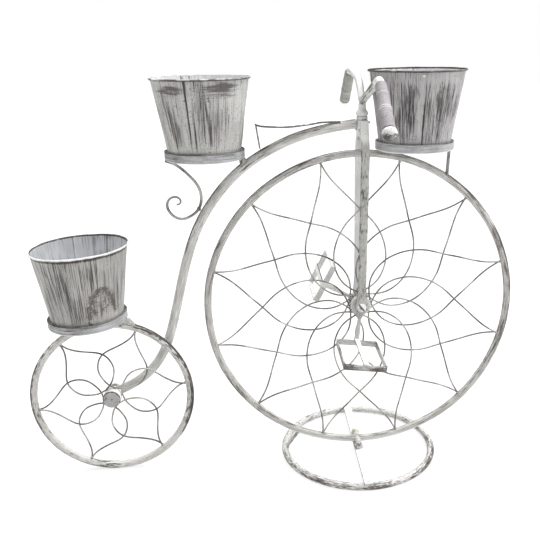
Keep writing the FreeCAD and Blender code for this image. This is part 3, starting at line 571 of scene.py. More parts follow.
def wires(table, count, start, sign, centre, y, samples, seed):
    g = Geo()
    for k in range(count):
        a0 = start + 360.0 / count * k
        pts = [(r * math.cos(math.radians(a0 + sign * a)), y, r * math.sin(math.radians(a0 + sign * a))) for r, a in table]
        P = spline(pts, samples) + np.asarray(centre, float)
        P[:, 1] += 0.18 * wob(P, 70.0, seed + k)
        low = wob(P, 60.0, seed + 40 + k)
        g.add(*sweep(P, Y, circle(1.25, 10), cap=0.6, seed=seed * 31.0 + k * 417.0, wear=-0.13 * low, rough=0.05, rough_len=7.0))
    return g


make("spokes_big_left_hand", wires(FRONT_SPOKE, 12, 15.0, 1, (0, 0, 0), -1.25, 130, 21), M_WIRE, nodes=("front_spokes_left_hand",))
make("spokes_big_right_hand", wires(FRONT_SPOKE, 12, 15.0, -1, (0, 0, 0), 1.25, 130, 22), M_WIRE, nodes=("front_spokes_right_hand",))

HUB = [(4.05, -12.6), (6.5, -13.0), (14.2, -13.0), (15.1, -12.6), (15.5, -11.6), (15.5, -5.2), (15.0, -4.4), (15.0, 4.4), (15.5, 5.2), (15.5, 11.6),
       (15.1, 12.6), (14.2, 13.0), (6.5, 13.0), (4.05, 12.6)]
g = Geo()
g.add(*lathe(HUB, 72, (0, 0, 0), Y, (1, 0, 0), flow_kind="round"))
make("hub_big", g, M_HUBBIG, nodes=("front_hub",), sharp=40)

# ------------------------------------------------------------------ fork and head
LEAN = math.tan(math.radians(0.45))


def blade(s):
    path = bends([(0, s * 11.5, 283.0), (0, s * 11.8, 271.0), (0, s * 27.3, 241.0), (0, s * 20.0, 20.0)], [5.4, 15.2], 3.0)
    tail = [(0, s * (19.0 + 1.0 * z / 20.0), z) for z in (14.0, 9.0, 5.0, 2.0, 0.0)]
    tip = [(0, s * 19.0, -9.5 * math.sin(math.radians(a))) for a in (8, 16, 26, 36, 48, 60, 70, 78, 84)]
    P = np.array(list(path) + tail + tip, float)
    z = P[:, 2]
    width = np.interp(z, [-9.5, 0.0, 6.0, 16.0, 34.0, 52.0, 240.0, 283.0], [0.2, 9.4, 9.2, 7.9, 6.5, 6.2, 6.2, 6.2])
    low = z < 0
    width[low] = np.sqrt(np.maximum(9.5 ** 2 - z[low] ** 2, 0.05))
    thick = np.interp(z, [-9.5, 14.0, 52.0, 250.0, 283.0], [2.0, 2.0, 2.95, 3.0, 3.0])
    P[:, 0] = z * LEAN + (1.8 * np.clip(z / 270.0, 0, 1) if s < 0 else 0.0)
    sec = np.array([stadium(w, t, 28) for w, t in zip(width, thick)])
    edge = np.abs(sec[..., 1]) / np.abs(sec[..., 1]).max(1, keepdims=True)
    left = -s * np.sign(sec[..., 1])
    wear = np.clip((edge - 0.70) / 0.30, 0, 1) * np.where(left > 0, 0.10, 0.18) * np.clip((262.0 - z) / 30.0, 0.2, 1)[:, None] - 0.20 * np.clip((z - 232.0) / 26.0, 0, 1)[:, None] if s < 0 else 0.0 * edge
    g = Geo()
    v, f, fl, w = sweep(P, (1, 0, 0), sec, seed=300.0 + 200 * s, rough=0.10, rough_len=16.0)
    g.add(v, f, fl, wear.reshape(-1))
    return g


make("blade_near", blade(-1), M_FORK, nodes=("fork_blade_near",))
make("blade_far", blade(1), M_BLADE_FAR_PAINTED_LIGHT, nodes=("fork_blade_far",))

HEAD_X = 2.2
HEAD = [(5.25, 265.0), (5.25, 283.2), (5.7, 283.5), (8.2, 283.5), (8.8, 282.9), (8.8, 263.2), (8.0, 262.0), (0.6, 262.0), (0.3, 262.6), (0.3, 264.7)]
g = Geo()
g.add(*lathe(HEAD, 56, (HEAD_X, 0, 0), Z, (1, 0, 0)))
make("head_sleeve", g, M_COLLAR, nodes=("head_tube",), sharp=40)

# ------------------------------------------------------------------ backbone
BACKBONE = [(-6.8, 277.9), (-34.0, 274.6), (-60.0, 269.6), (-95.0, 260.0), (-130.5, 244.6),
            (-165.0, 224.0), (-194.5, 199.0), (-220.0, 168.5), (-240.0, 137.0),
            (-256.0, 99.0), (-267.5, 62.0), (-276.5, 27.0), (-285.0, -6.0), (-294.0, -37.0),
            (-306.5, -67.0), (-325.0, -93.0), (-347.0, -111.5), (-370.0, -123.5), (-384.0, -129.0)]
P = spline([(x, 0, z) for x, z in BACKBONE], 330)
sec = circle(7.0, 28)
wear = np.zeros((len(P), 28))
upper = np.clip((P[:, 2] - 20.0) / 90.0, 0, 1)
wear += 0.02 + (0.27 * np.clip(sec[:, 0] / 7.0, 0, 1)[None] ** 2 * (0.6 + 0.5 * wob(P, 90.0, 61))[:, None]) * (0.35 + 0.65 * upper)[:, None] - 0.15 * (1 - upper)[:, None] - (0.14 * np.exp(-((P[:, 0] + 38.0) / 20.0) ** 2))[:, None]
g = Geo()
v, f, fl, w = sweep(P, Y, sec, seed=900.0, rough=0.13, rough_len=26.0)
g.add(v, f, fl, wear.reshape(-1))
EYE = [(0.4, -6.9), (10.8, -6.9), (11.7, -6.4), (12.0, -5.4), (12.0, 4.4), (11.7, 5.4), (10.8, 5.9), (0.4, 5.9)]
g.add(*lathe(EYE, 56, (-386.0, 0, -129.5), Y, (1, 0, 0), loop=False, flow_kind="round"))
make("backbone", g, M_BACK, nodes=("backbone_tube",), sharp=50)

# ------------------------------------------------------------------ saddle
SADDLE_EDGE = np.array([(-154.0, 10.0), (-151.0, 24.0), (-143.0, 39.0), (-130.0, 48.5), (-115.0, 51.0),
                        (-100.0, 46.0), (-84.0, 35.0), (-68.0, 20.0), (-56.0, 10.0), (-46.0, 6.5), (-30.0, 6.0)])


def saddle():
    """Sheet cut to a saddle outline, its wings a touch lower than its middle, with rounded edges."""
    edge = spline(SADDLE_EDGE, 90)
    xs, ws = edge[:, 0], edge[:, 1]
    cols = 25
    vv = np.sin(np.linspace(-math.pi / 2, math.pi / 2, cols))
    def layer(z, inset):
        w = np.maximum(ws - inset, 1.0)
        x = xs + inset * np.linspace(1, -1, len(xs))
        y = vv[None] * w[:, None]
        dish = -0.55 * (np.abs(y) / 51.0) ** 2 + 0.35 * wob(np.stack([np.broadcast_to(x[:, None], y.shape), y, 0 * y], -1), 60.0, 77)
        nose = 0.5 * np.clip((x + 60.0) / 30.0, 0, 1)
        return np.stack([np.broadcast_to(x[:, None], y.shape), y, z + dish * np.clip((-x - 40.0) / 30.0, 0, 1)[:, None] + nose[:, None] * 0], -1)
    n = len(xs)
    top, low = layer(283.4, 0.7), layer(281.45, 1.5)
    mid_hi, mid_lo, lip = layer(283.1, 0.0), layer(280.6, 0.0), layer(280.4, 1.0)
    v = [top.reshape(-1, 3), low.reshape(-1, 3)]
    f = grid_faces(n, cols, False, False) + [tuple(i + n * cols for i in q) for q in grid_faces(n, cols, False, False)]
    rim = [(i, 0) for i in range(n)] + [(n - 1, j) for j in range(1, cols)] + [(i, cols - 1) for i in range(n - 2, -1, -1)] + [(0, j) for j in range(cols - 2, 0, -1)]
    R = len(rim)
    base = 2 * n * cols
    v += [np.array([mid_hi[i, j] for i, j in rim]), np.array([mid_lo[i, j] for i, j in rim]), np.array([lip[i, j] for i, j in rim])]
    for k in range(R):
        q = (k + 1) % R
        a, b = rim[k][0] * cols + rim[k][1], rim[q][0] * cols + rim[q][1]
        f.append((a, b, base + q, base + k))
        f.append((base + k, base + q, base + R + q, base + R + k))
        f.append((base + R + k, base + R + q, base + 2 * R + q, base + 2 * R + k))
        f.append((base + 2 * R + k, base + 2 * R + q, n * cols + b, n * cols + a))
    v = np.concatenate(v)
    wear = np.zeros(len(v))
    wear[base:] = 0.36
    wear[base:base + R] = 0.22
    flow = v[:, [1, 2, 0]] + np.array([0, 0, 2100.0])
    return v, f, flow, wear


g = Geo()
g.add(*saddle())
make("saddle", g, M_SADDLE, nodes=("saddle_plate",), sharp=50)
g = Geo()
g.add(*prism([(-154.0, 281.4), (-151.6, 281.4), (-146.4, 244.5), (-148.9, 246.5)], -6.5, 6.5, 0.45))
make("saddle_back_leg", g, M_DARKPLATE, nodes=("saddle_leg",), sharp=40)

# ------------------------------------------------------------------ small wheel
RX, RY, RZ = -386.0, -15.0, -129.5
g = Geo()
g.add(*hoop(118.5, BAR_R, (RX, RY, RZ), "xz", 200.0, 31, outer_wear=0.09, count=280, scuffs=((34.0, 34.0, 0.34, 0), (-12.0, 24.0, 0.38, 0), (-12.0, 24.0, 0.12, 3), (185.0, 46.0, 0.58, 1.3), (200.0, 16.0, 0.14, 0), (-97.0, 10.0, 0.46, 0), (-120.0, 14.0, 0.12, 2), (-62.0, 18.0, -0.04, 0), (70.0, 12.0, 0.20, 0))))
make("rim_small", g, M_RIM_SMALL, nodes=("rear_rim",))
make("spokes_small_left_hand", wires(REAR_SPOKE, 6, 8.5, 1, (RX, RY, RZ), -1.25, 90, 23), M_WIRE, nodes=("rear_spokes_left_hand",))
make("spokes_small_right_hand", wires(REAR_SPOKE, 6, 8.5, -1, (RX, RY, RZ), 1.25, 90, 24), M_WIRE, nodes=("rear_spokes_right_hand",))
RHUB = [(0.25, -27.2), (1.1, -27.25), (1.6, -27.85), (2.4, -28.0), (11.8, -28.0), (12.9, -27.6), (13.4, -26.6), (13.5, -25.4), (13.5, -8.2), (12.9, -7.2), (12.0, -7.0), (0.25, -7.0)]
g = Geo()
# the face's rounded edge is painted darker on its upper side as painted shade, the drum is painted pale as painted
# light, and the middle of the face is set darker
g.add(*lathe(RHUB, 64, (RX, 0, RZ), Y, (1, 0, 0), loop=False, flow_kind="up", wear=lambda th, k: np.where((k == 5) | (k == 6), 0.10 + 0.22 * np.clip(-np.sin(th), 0, 1), 0.0) + np.where((k > 6) & (k < 10), -0.30, 0.0) + np.where(k < 3, 0.12, 0.0)))
make("hub_small", g, M_HUBFACE, nodes=("rear_hub",), sharp=35)

# ------------------------------------------------------------------ trays and pots
TRAY_R, TRAY_H = 57.5, 13.0
TILT = math.radians(2.15)
TOP = dict(at=(-227.3, 0.0, 232.9), axis=(0, 0, 1), seam=-104.0)
FRONT = dict(at=(80.4, 0.0, 239.1), axis=(0, 0, 1), seam=-91.5)
REAR = dict(at=(-412.0406, -12.0, -6.2902), axis=(-math.sin(TILT), 0, math.cos(TILT)), seam=111.0)


def tray_piece(name, spec, seed):
    prof = [(0.35, 0.0), (30.0, 0.0), (54.8, 0.0), (56.3, 0.3), (57.2, 1.1), (57.5, 2.4), (57.5, 7.0), (57.5, 11.6), (57.75, 12.2), (57.7, 12.8), (57.2, 13.15),
            (56.6, 13.05), (56.35, 12.5), (56.2, 11.0), (55.7, 8.6), (54.9, 6.2), (53.9, 4.0), (52.7, 2.0), (51.9, 1.15), (30.0, 1.0), (0.35, 1.0)]
    K = len(prof)

    def disp(th, k):
        p = np.stack([57 * np.cos(th), 57 * np.sin(th), 0 * th], -1)
        return np.where((k > 3) & (k < 16), 0.22 * wob(p, 46.0, seed) + 0.06 * wob(p, 12.0, seed + 1), 0.0)

    def wear(th, k):
        # the rounded lower outer edge is painted pale as painted light, and the lip at the top is set darker
        lip = np.where((k >= 8) & (k <= 11), 0.13, 0.0) + np.where((k >= 2) & (k <= 4), -0.17, 0.0)
        # the inner wall is painted pale as painted light against the shade in the narrow gap round the pot
        inner = np.where((k > 12) & (k < 19), -0.30, 0.0)
        return lip + inner + {"top": 0.02, "front": -0.05, "rear": 0.0}[name]
    g = Geo()
    g.add(*lathe(prof, 200, spec["at"], spec["axis"], (0, 1, 0), loop=False, disp=disp, flow_kind="round", seed=seed * 300.0, wear=wear))
    return g


for name, spec, seed in (("top", TOP, 41), ("front", FRONT, 42), ("rear", REAR, 43)):
    make("dish_" + name, tray_piece(name, spec, seed), M_TRAY, nodes=(name + "_tray",), sharp=50)

POT_TOP_R, POT_BOT_R, POT_H, POT_T = 69.2, 51.0, 114.0, 0.8
# how each mouth sits off the middle of its floor: along X, higher by, and its near side higher again by
CROOKED = {"top": (-1.7, 0.0, 0.0), "front": (2.0, 0.0, 0.0), "rear": (0.6, 2.0, 0.4)}


def crooked(v, spec, off):
    """Slides points in step with their height above the tray."""
    d = v - np.asarray(spec["at"])
    k = np.clip(d @ unit(spec["axis"]) - 1.3, 0.0, None) / POT_H
    up = off[1] - off[2] * d[:, 1] / POT_TOP_R
    return v + np.stack([k * off[0], 0 * k, k * up], -1)



# Worn patches on each pot's outside: (angle, height, half angle, half height, amount, lean of the patch in degrees per
# mm). The wide lightening patches centred at -90 degrees, 4 to 8 mm up, are painted light against the shade in the gap
# inside the tray.
MARKS = {
    "top": [(-134.0, 62.0, 10.0, 44.0, 0.11, -0.15), (-127.0, 44.0, 9.0, 24.0, 0.13, -0.15), (-118.0, 60.0, 7.0, 34.0, 0.10, -0.1),
            (-95.0, 60.0, 9.0, 42.0, 0.13, 0.0), (-84.0, 64.0, 5.0, 38.0, 0.11, -0.1), (-79.0, 56.0, 2.2, 36.0, 0.20, -0.1), (-76.0, 40.0, 3.5, 20.0, 0.10, -0.1), (-69.0, 56.0, 7.0, 30.0, 0.11, -0.1), (-58.0, 60.0, 7.0, 30.0, 0.04, 0.0),
            (-163.0, 74.0, 10.0, 30.0, 0.08, -0.2), (-12.0, 34.0, 7.0, 22.0, 0.12, 0.0), (-40.0, 52.0, 20.0, 46.0, -0.13, 0.0), (-99.0, 96.0, 6.0, 22.0, -0.12, 0.0), (-112.0, 60.0, 3.0, 60.0, -0.12, 0.0), (-101.0, 60.0, 2.0, 60.0, -0.10, 0.0),
            (-90.0, 8.0, 90.0, 14.0, -0.10, 0.0)],
    "front": [(-134.0, 60.0, 8.0, 44.0, 0.08, -0.1), (-121.0, 64.0, 11.0, 42.0, 0.12, -0.1), (-109.0, 66.0, 9.0, 42.0, 0.13, -0.1), (-86.0, 46.0, 6.0, 36.0, 0.11, 0.0), (-72.0, 84.0, 5.0, 24.0, 0.09, 0.0),
              (-63.0, 58.0, 12.0, 44.0, 0.085, 0.1), (-45.0, 62.0, 10.0, 42.0, 0.03, 0.0), (-24.0, 60.0, 12.0, 60.0, -0.03, 0.0), (-97.0, 76.0, 3.0, 44.0, -0.16, 0.0), (-78.0, 96.0, 7.0, 12.0, -0.10, 0.0), (-90.0, 110.0, 70.0, 14.0, -0.16, 0.0),
              (-90.0, 4.0, 110.0, 13.0, -0.12, 0.0)],
    "rear": [(-97.0, 66.0, 10.0, 44.0, 0.05, -0.2), (-88.0, 38.0, 9.0, 28.0, 0.03, -0.2), (-36.0, 40.0, 4.0, 26.0, 0.10, -0.2), (-108.0, 60.0, 8.0, 44.0, 0.04, -0.2),
             (-122.0, 60.0, 10.0, 44.0, 0.04, -0.2), (-140.0, 50.0, 12.0, 40.0, 0.03, 0.0), (-48.0, 13.0, 24.0, 10.0, -0.16, 0.0), (-64.0, 92.0, 9.0, 24.0, 0.09, 0.0), (-45.0, 84.0, 9.0, 26.0, 0.05, 0.0), (-22.0, 60.0, 13.0, 44.0, 0.10, 0.0),
             (-90.0, 4.0, 110.0, 11.0, -0.12, 0.0)],
}
# Smears brushed across the strokes: (angle, height, half angle, half height, amount)
SMEARS = {
    "top": [(-127.0, 99.0, 21.0, 7.0, 0.50), (-128.0, 102.5, 20.0, 2.6, 0.60), (-66.0, 101.0, 27.0, 7.5, 0.47), (-59.0, 103.0, 15.0, 9.0, 0.58), (-62.0, 92.0, 25.0, 4.0, 0.34)],
    "front": [(-75.0, 112.0, 60.0, 2.0, 0.10)],
    "rear": [(-57.0, 45.0, 18.0, 17.0, 0.29)],
}
# Hand-rubbed smudges: (amount, half width in mm, points as angle and height)
STROKES = {
    "rear": [(0.52, 4.8, [(-74, 22), (-73, 38), (-67, 52), (-60, 61), (-49, 62), (-41, 50), (-35, 38), (-31, 26)]), (0.46, 4.0, [(-71, 54), (-72, 44), (-70, 33), (-63, 29)]),
             (0.40, 3.2, [(-64, 46), (-53, 42)]), (0.44, 3.6, [(-47, 55), (-43, 42), (-45, 34), (-52, 32)]), (0.44, 3.6, [(-74, 28), (-76, 17), (-73, 11)])],
    "top": [(0.34, 1.8, [(-79, 96), (-78, 84)]), (0.32, 1.6, [(-135, 95), (-133, 84)]), (0.34, 1.8, [(-52, 98), (-50, 90)])],
    "front": [(0.34, 1.2, [(-72, 99), (-71.5, 74)])],
}


def pot_wall(name, spec, seed):
    """Rolled sheet cone with a lapped upright seam, shallow dents and thin walls."""
    n = 96
    hs = np.linspace(0.0, POT_H, n)
    slope = (POT_TOP_R - POT_BOT_R) / POT_H
    outer = [(POT_BOT_R + slope * h, h) for h in hs]
    inner = [(POT_BOT_R - POT_T + slope * h, h) for h in hs[::-1]]
    outer[0] = (POT_BOT_R - 0.2, 0.0)
    prof = np.array([(POT_BOT_R - 0.5, 0.0)] + outer + [(POT_TOP_R - 0.4, POT_H + 0.05)] + inner)
    prof[:, 1] += 1.3
    K = len(prof)
    ho = np.concatenate([[0], hs, [POT_H], hs[::-1]])
    is_out = np.concatenate([[True], np.ones(n, bool), [True], np.zeros(n, bool)])
    seam = math.radians(spec["seam"])
    ref = (1, 0, 0)

    def local(th, k):
        d = (th - seam + math.pi) % TAU - math.pi
        return d * 61.0, ho[k], is_out[k]

    def disp(th, k):
        d, h, out = local(th, k)
        p = np.stack([60 * np.cos(th), 60 * np.sin(th), h], -1)
        dent = 0.32 * wob(p, 62.0, seed) + 0.10 * wob(p * np.array([1, 1, 0.25]), 17.0, seed + 1)
        fade = np.clip((POT_H - 6 - h) / 14.0, 0, 1) * np.clip(h / 10.0, 0, 1)
        lap = 0.62 * (1 / (1 + np.exp(-(d + 0.2) / 0.22))) * np.clip(1.0 - d / 9.0, 0, 1) * np.clip((POT_H - 1.0 - h) / 2.0, 0, 1)
        lap = np.where((d > -3) & (d < 9), lap, 0.0)
        return dent * fade + np.where(out, lap, 0.45 * lap)

    def wear(th, k):
        d, h, out = local(th, k)
        line = np.clip(h / 30.0, 0.4, 1) if name != "front" else np.clip((78.0 - h) / 24.0, 0.12, 1)
        wide = 0.9 + 0.7 * np.clip((h - 40.0) / 60.0, 0, 1) if name != "front" else 0.8
        # the lapped seam is a dark line with a paler strip beside it, a painted highlight on the lap's edge
        w = (0.46 * np.exp(-((d + 0.6) / wide) ** 2) * line - 0.12 * np.exp(-((d + 3.6) / 2.0) ** 2)) * np.where(out, 1.0, 0.35)
        # a dark band on the outside just under the rolled edge: painted shade under the roll
        w = w + np.where(out, 0.22, 0.0) * np.clip((h - (POT_H - 3.4)) / 3.0, 0, 1)
        if name != "top":
            w = w + np.where(out, 0.0, 0.5) * np.clip((h - (POT_H - 2.2)) / 1.2, 0, 1)
        if name == "rear":
            # on the rear pot a wider dark band under the rolled edge: painted shade
            w = w + np.where(out, 0.30, 0.0) * np.clip((h - 107.2) / 2.0, 0, 1)
            w = w + np.where(out, 0.0, 0.10 * np.exp(-((np.degrees(th) - 68.0) / 20.0) ** 2) - 0.09 * np.exp(-((np.degrees(th) - 140.0) / 34.0) ** 2))
        if name in MARKS:
            for a, hc, da, dh, amount, lean in MARKS[name]:
                da_ = (th - math.radians(a + lean * (hc - 60.0) * 0) - math.radians(lean) * (h - hc) + math.pi) % TAU - math.pi
                e = (da_ / math.radians(da)) ** 2 + ((h - hc) / dh) ** 2
                w = w + np.where(out, amount, 0.0) * np.exp(-np.minimum(e, 30.0) ** 1.5)
        return w
    g = Geo()
    v, f, fl, w = lathe(prof, 420, spec["at"], spec["axis"], ref, loop=True, disp=disp, flow_kind="up", seed=seed * 170.0, wear=wear)
    # inside and outside are brushed along the same upright lines
    fl[:, 2] = np.repeat(ho, 420) + seed * 170.0
    fl[:, :2] *= 61.0 / np.maximum(np.linalg.norm(fl[:, :2], axis=1, keepdims=True), 1.0)
    g.add(v, f, fl, w)
    th = np.tile(np.arange(420) * TAU / 420, K)
    hh, oo = np.repeat(ho, 420), np.repeat(is_out, 420)
    ang = np.where(th > math.pi, th - TAU, th)
    around = np.stack([hh, 0 * hh, ang * 61.0 + seed * 500.0], -1)
    smear = np.zeros(len(v))
    for a, hc, da, dh, amount in SMEARS[name]:
        e = ((ang - math.radians(a)) / math.radians(da)) ** 2 + ((hh - hc) / dh) ** 2
        smear = np.maximum(smear, np.where(oo, amount, 0.0) * np.exp(-np.minimum(e, 30.0) ** 1.5))
    for amount, half, path in STROKES.get(name, ()):
        q = np.stack([np.degrees(ang) * 1.065, hh], -1)
        pts = np.array([(a * 1.065, h) for a, h in path])
        best = np.full(len(v), 1e9)
        for a, b in zip(pts[:-1], pts[1:]):
            u = np.clip(((q - a) @ (b - a)) / ((b - a) @ (b - a)), 0, 1)
            best = np.minimum(best, np.linalg.norm(q - a - u[:, None] * (b - a), axis=1))
        smear = np.maximum(smear, np.where(oo, amount, 0.0) * np.exp(-(best / half) ** 2))
    return g, oo, around, smear


def pot_floor(spec, seed):
    """Flat disc with a shallow turned-up edge."""
    prof = [(0.3, 1.3), (46.0, 1.3), (49.4, 1.35), (50.1, 1.7), (50.25, 2.2), (49.9, 2.45), (48.6, 2.3), (46.0, 2.3), (20.0, 2.3), (0.3, 2.3)]
    g = Geo()
    g.add(*lathe(prof, 120, spec["at"], spec["axis"], (1, 0, 0), loop=False, flow_kind="round", seed=seed * 90.0))
    return g


def pot_edge(spec, seed, rubbed):
    """Rolled top edge: the sheet turned outwards over a wire."""
    m, n = 420, 14
    th = np.arange(m) * TAU / m
    axis = unit(spec["axis"])
    u = unit(np.array([1.0, 0, 0]) - axis * axis[0])
    w = np.cross(axis, u)
    radial = np.cos(th)[:, None] * u + np.sin(th)[:, None] * w
    ring_r = POT_TOP_R + 1.05
    h = 1.3 + POT_H - 1.0
    P = np.asarray(spec["at"]) + axis * h + radial * ring_r
    P = P + axis * (0.22 * wob(P, 44.0, seed))[:, None] + radial * (0.12 * wob(P, 30.0, seed + 2))[:, None]
    sec = circle(1.5, n)
    T = unit(np.roll(P, -1, 0) - np.roll(P, 1, 0))
    g = Geo()
    v, f, fl, wr = sweep(P, axis, sec, closed=True, seed=seed * 60.0, rough=0.06, rough_len=8.0)
    # the roll's underside is set darker: painted shade under the rolled edge
    low = np.clip(-sec[:, 1] / 1.5 + 0.1, 0, 1)
    high = np.clip(sec[:, 1] / 1.5 + 0.2, 0, 1)
    far = rubbed * np.clip(np.sin(th) + 0.15, 0, 1) ** 0.5
    g.add(v, f, fl, (0.30 * low[None] + far[:, None] * high[None]).reshape(-1))
    return g


for name, spec, seed, mat in (("top", TOP, 51, M_POT_TOP), ("front", FRONT, 52, M_POT_FRONT), ("rear", REAR, 53, M_POT_REAR)):
    g, is_out, around, smear = pot_wall(name, spec, seed)
    g.turned(lambda v: crooked(v, spec, CROOKED[name]))
    ob = make("pot_" + name + "_wall", g, mat, body=name + "_pot", nodes=(name + "_pot_wall",), sharp=50)
    at = ob.data.attributes.new("around", "FLOAT_VECTOR", "POINT")
    at.data.foreach_set("vector", (around * MM).astype(np.float32).ravel())
    at = ob.data.attributes.new("smear", "FLOAT", "POINT")
    at.data.foreach_set("value", smear.astype(np.float32))
    inside = M_POT_IN if name == "rear" else M_POT_IN_WHITE
    ob.data.materials.append(inside)
    idx = np.zeros(len(ob.data.polygons), np.int32)
    for i, poly in enumerate(ob.data.polygons):
        if not is_out[list(poly.vertices)].any():
            idx[i] = 1
    ob.data.polygons.foreach_set("material_index", idx)
    make("pot_" + name + "_floor", pot_floor(spec, seed), M_POT_IN, body=name + "_pot", nodes=(name + "_pot_floor",), sharp=50)
    g = pot_edge(spec, seed, {"front": 0.30, "rear": 0.34, "top": 0.0}[name]).turned(lambda v: crooked(v, spec, CROOKED[name]))
    make("pot_" + name + "_rolled_edge", g, {"front": M_BEAD_DARK, "rear": M_BEAD_PALE, "top": M_BEAD}[name], body=name + "_pot", nodes=(name + "_pot_rim_wire",))

# small rivet at the top of the front pot's seam
a = math.radians(-95.5)
r = POT_BOT_R + (POT_TOP_R - POT_BOT_R) * 107.5 / POT_H
at = np.array(FRONT["at"]) + np.array([r * math.cos(a), r * math.sin(a), 108.8])
g = Geo()
g.add(*lathe([(0.1, 1.7), (1.1, 1.5), (1.9, 0.9), (2.2, 0.0), (2.1, -0.4), (0.1, -0.4)], 24, at, (math.cos(a), math.sin(a), -0.15), (0, 0, 1), loop=False))
g.turned(lambda v: crooked(v, FRONT, CROOKED["front"]))
make("pot_front_seam_rivet", g, M_COLLAR, body="front_pot")

# ------------------------------------------------------------------ brackets
SCROLL = [(-284.0, 230.5), (-273.5, 226.5), (-261.1, 217.9), (-248.7, 205.2), (-240.2, 193.5),
          (-235.9, 178.6), (-237.7, 164.0), (-243.4, 154.6), (-253.0, 147.5), (-264.4, 144.1),
          (-276.5, 148.0), (-284.2, 157.5), (-285.6, 168.0), (-280.3, 175.8), (-272.0, 177.2),
          (-266.4, 172.6), (-267.2, 167.4), (-271.4, 166.0)]
P = spline([(x, 0, z) for x, z in SCROLL], 260)
k = np.linspace(0, 1, len(P))
rad = np.interp(k, [0, 0.04, 0.5, 0.8, 0.93, 1.0], [2.0, 2.1, 2.1, 1.9, 1.5, 1.2])
g = Geo()
g.add(*sweep(P, Y, circle(1.0, 14)[None] * rad[:, None, None], cap=1.0, seed=1500.0, wear=0.12 + 0.12 * wob(P, 40.0, 91), rough=0.06, rough_len=9.0))
make("scroll", g, M_FRAME, nodes=("scroll_bracket",))

g = Geo()
g.add(*prism([(-179.0, 232.9), (-170.5, 232.9), (-164.0, 226.8), (-171.0, 221.6), (-177.5, 224.0)], -4.5, 4.5, 0.8, 3))
make("tray_lug", g, M_PLAIN, nodes=("top_tray_lug",), sharp=40)
g = Geo()
g.add(*prism([(132.4, 239.1), (134.8, 239.1), (132.4, 199.0), (130.0, 201.0)], -5.0, 5.0, 0.5))
make("tray_strut", g, M_DARKPLATE, nodes=("front_tray_strut",), sharp=40)


def wedge_z(x):
    return (118.5 + 5.5 + 0.1) / math.cos(TILT) + x * math.tan(TILT)


g = Geo()
g.add(*prism([(RX + x, RZ + z) for x, z in ((10.0, wedge_z(10.0)), (34.0, wedge_z(34.0)), (44.5, 114.0), (36.0, 117.0), (22.0, 120.4), (10.0, 122.0))], RY - 5.0, RY + 5.0, 0.8, 3))
make("tray_gusset", g, M_PLAIN, nodes=("rear_tray_gusset",), sharp=40)

# ------------------------------------------------------------------ base
RING_R, RING_X, RING_Y, RING_Z = 119.0, -2.0, 3.0, -248.0
STRIP_X = -3.5
g = Geo()
g.add(*hoop(RING_R, BAR_R, (RING_X, RING_Y, RING_Z), "xy", 92.0, 71, outer_wear=0.08, count=300, scuffs=((-128.0, 18.0, 0.05, 0), (-82.0, 9.0, 0.13, 0), (-22.0, 24.0, 0.22, 0), (55.0, 30.0, 0.09, 0), (120.0, 16.0, 0.06, 0), (180.0, 18.0, -0.09, 0))))
make("ring_base", g, M_RING, nodes=("base_ring",))
z0 = RING_Z + BAR_R - 0.7
g = Geo()
v, f = block((STRIP_X - 6.5, RING_Y - RING_R - 3.0, z0), (STRIP_X + 6.5, RING_Y + RING_R + 3.0, z0 + 2.5), 0.5)
g.add(v, f, v, np.where(v[:, 0] < STRIP_X - 6.2, 0.40, 0.0))
make("strip_base", g, M_STRIP, nodes=("base_cross_strip",), sharp=40)


def strut(x_ring, x_rim):
    z_rim = -math.sqrt(RIM_R ** 2 - x_rim ** 2)
    a, b = np.array([x_ring, RING_Z + 3.0]), np.array([x_rim, z_rim])
    d = unit(b - a)
    a, b = a + d * 3.5, b - d * 4.0
    n = np.array([-d[1], d[0]]) * 1.25
    return prism([tuple(a + n), tuple(b + n), tuple(b - n), tuple(a - n)], -4.5, 5.5, 0.45)


for name, xs in (("left", (RING_X - RING_R, -97.0)), ("right", (RING_X + RING_R, 91.5))):
    g = Geo()
    g.add(*strut(*xs))
    make("strut_" + name, g, M_PLAIN if name == "left" else M_DARKPLATE, nodes=("base_strut_" + name,), sharp=40)

top = z0 + 2.5
for s in (-1, 1):
    g = Geo()
    arch = [(STRIP_X - 6.5, top), (STRIP_X + 6.5, top)] + [(STRIP_X + (5.4 if s < 0 else 6.5) * math.cos(a), -234.5 + (5.2 if s < 0 else 6.5) * math.sin(a)) for a in np.linspace(0, math.pi, 15)]
    y0, y1 = sorted((s * 19.0, s * 21.0))
    g.add(*prism(arch, y0, y1, 0.3))
    y0, y1 = sorted((s * 8.0, s * 20.6))
    g.add(*block((STRIP_X - 6.5, y0, top), (STRIP_X + 6.5, y1, top + 2.0), 0.4))
    make("clip_tab_near" if s < 0 else "clip_tab_far", g, M_DARKPLATE if s < 0 else M_CREAM, nodes=("rim_clip_tabs",) if s < 0 else (), sharp=40)

# ------------------------------------------------------------------ handlebar
V_Z, BEND_Y, BEND_Z, END_Y, END_Z = 309.5, 116.0, 354.0, 199.0, 292.0


def back_of(p, q, s, rad):
    a, b = unit(np.subtract(p, q)), unit(np.subtract(s, q))
    return rad / math.tan(math.acos(np.clip(a @ b, -1, 1)) / 2)


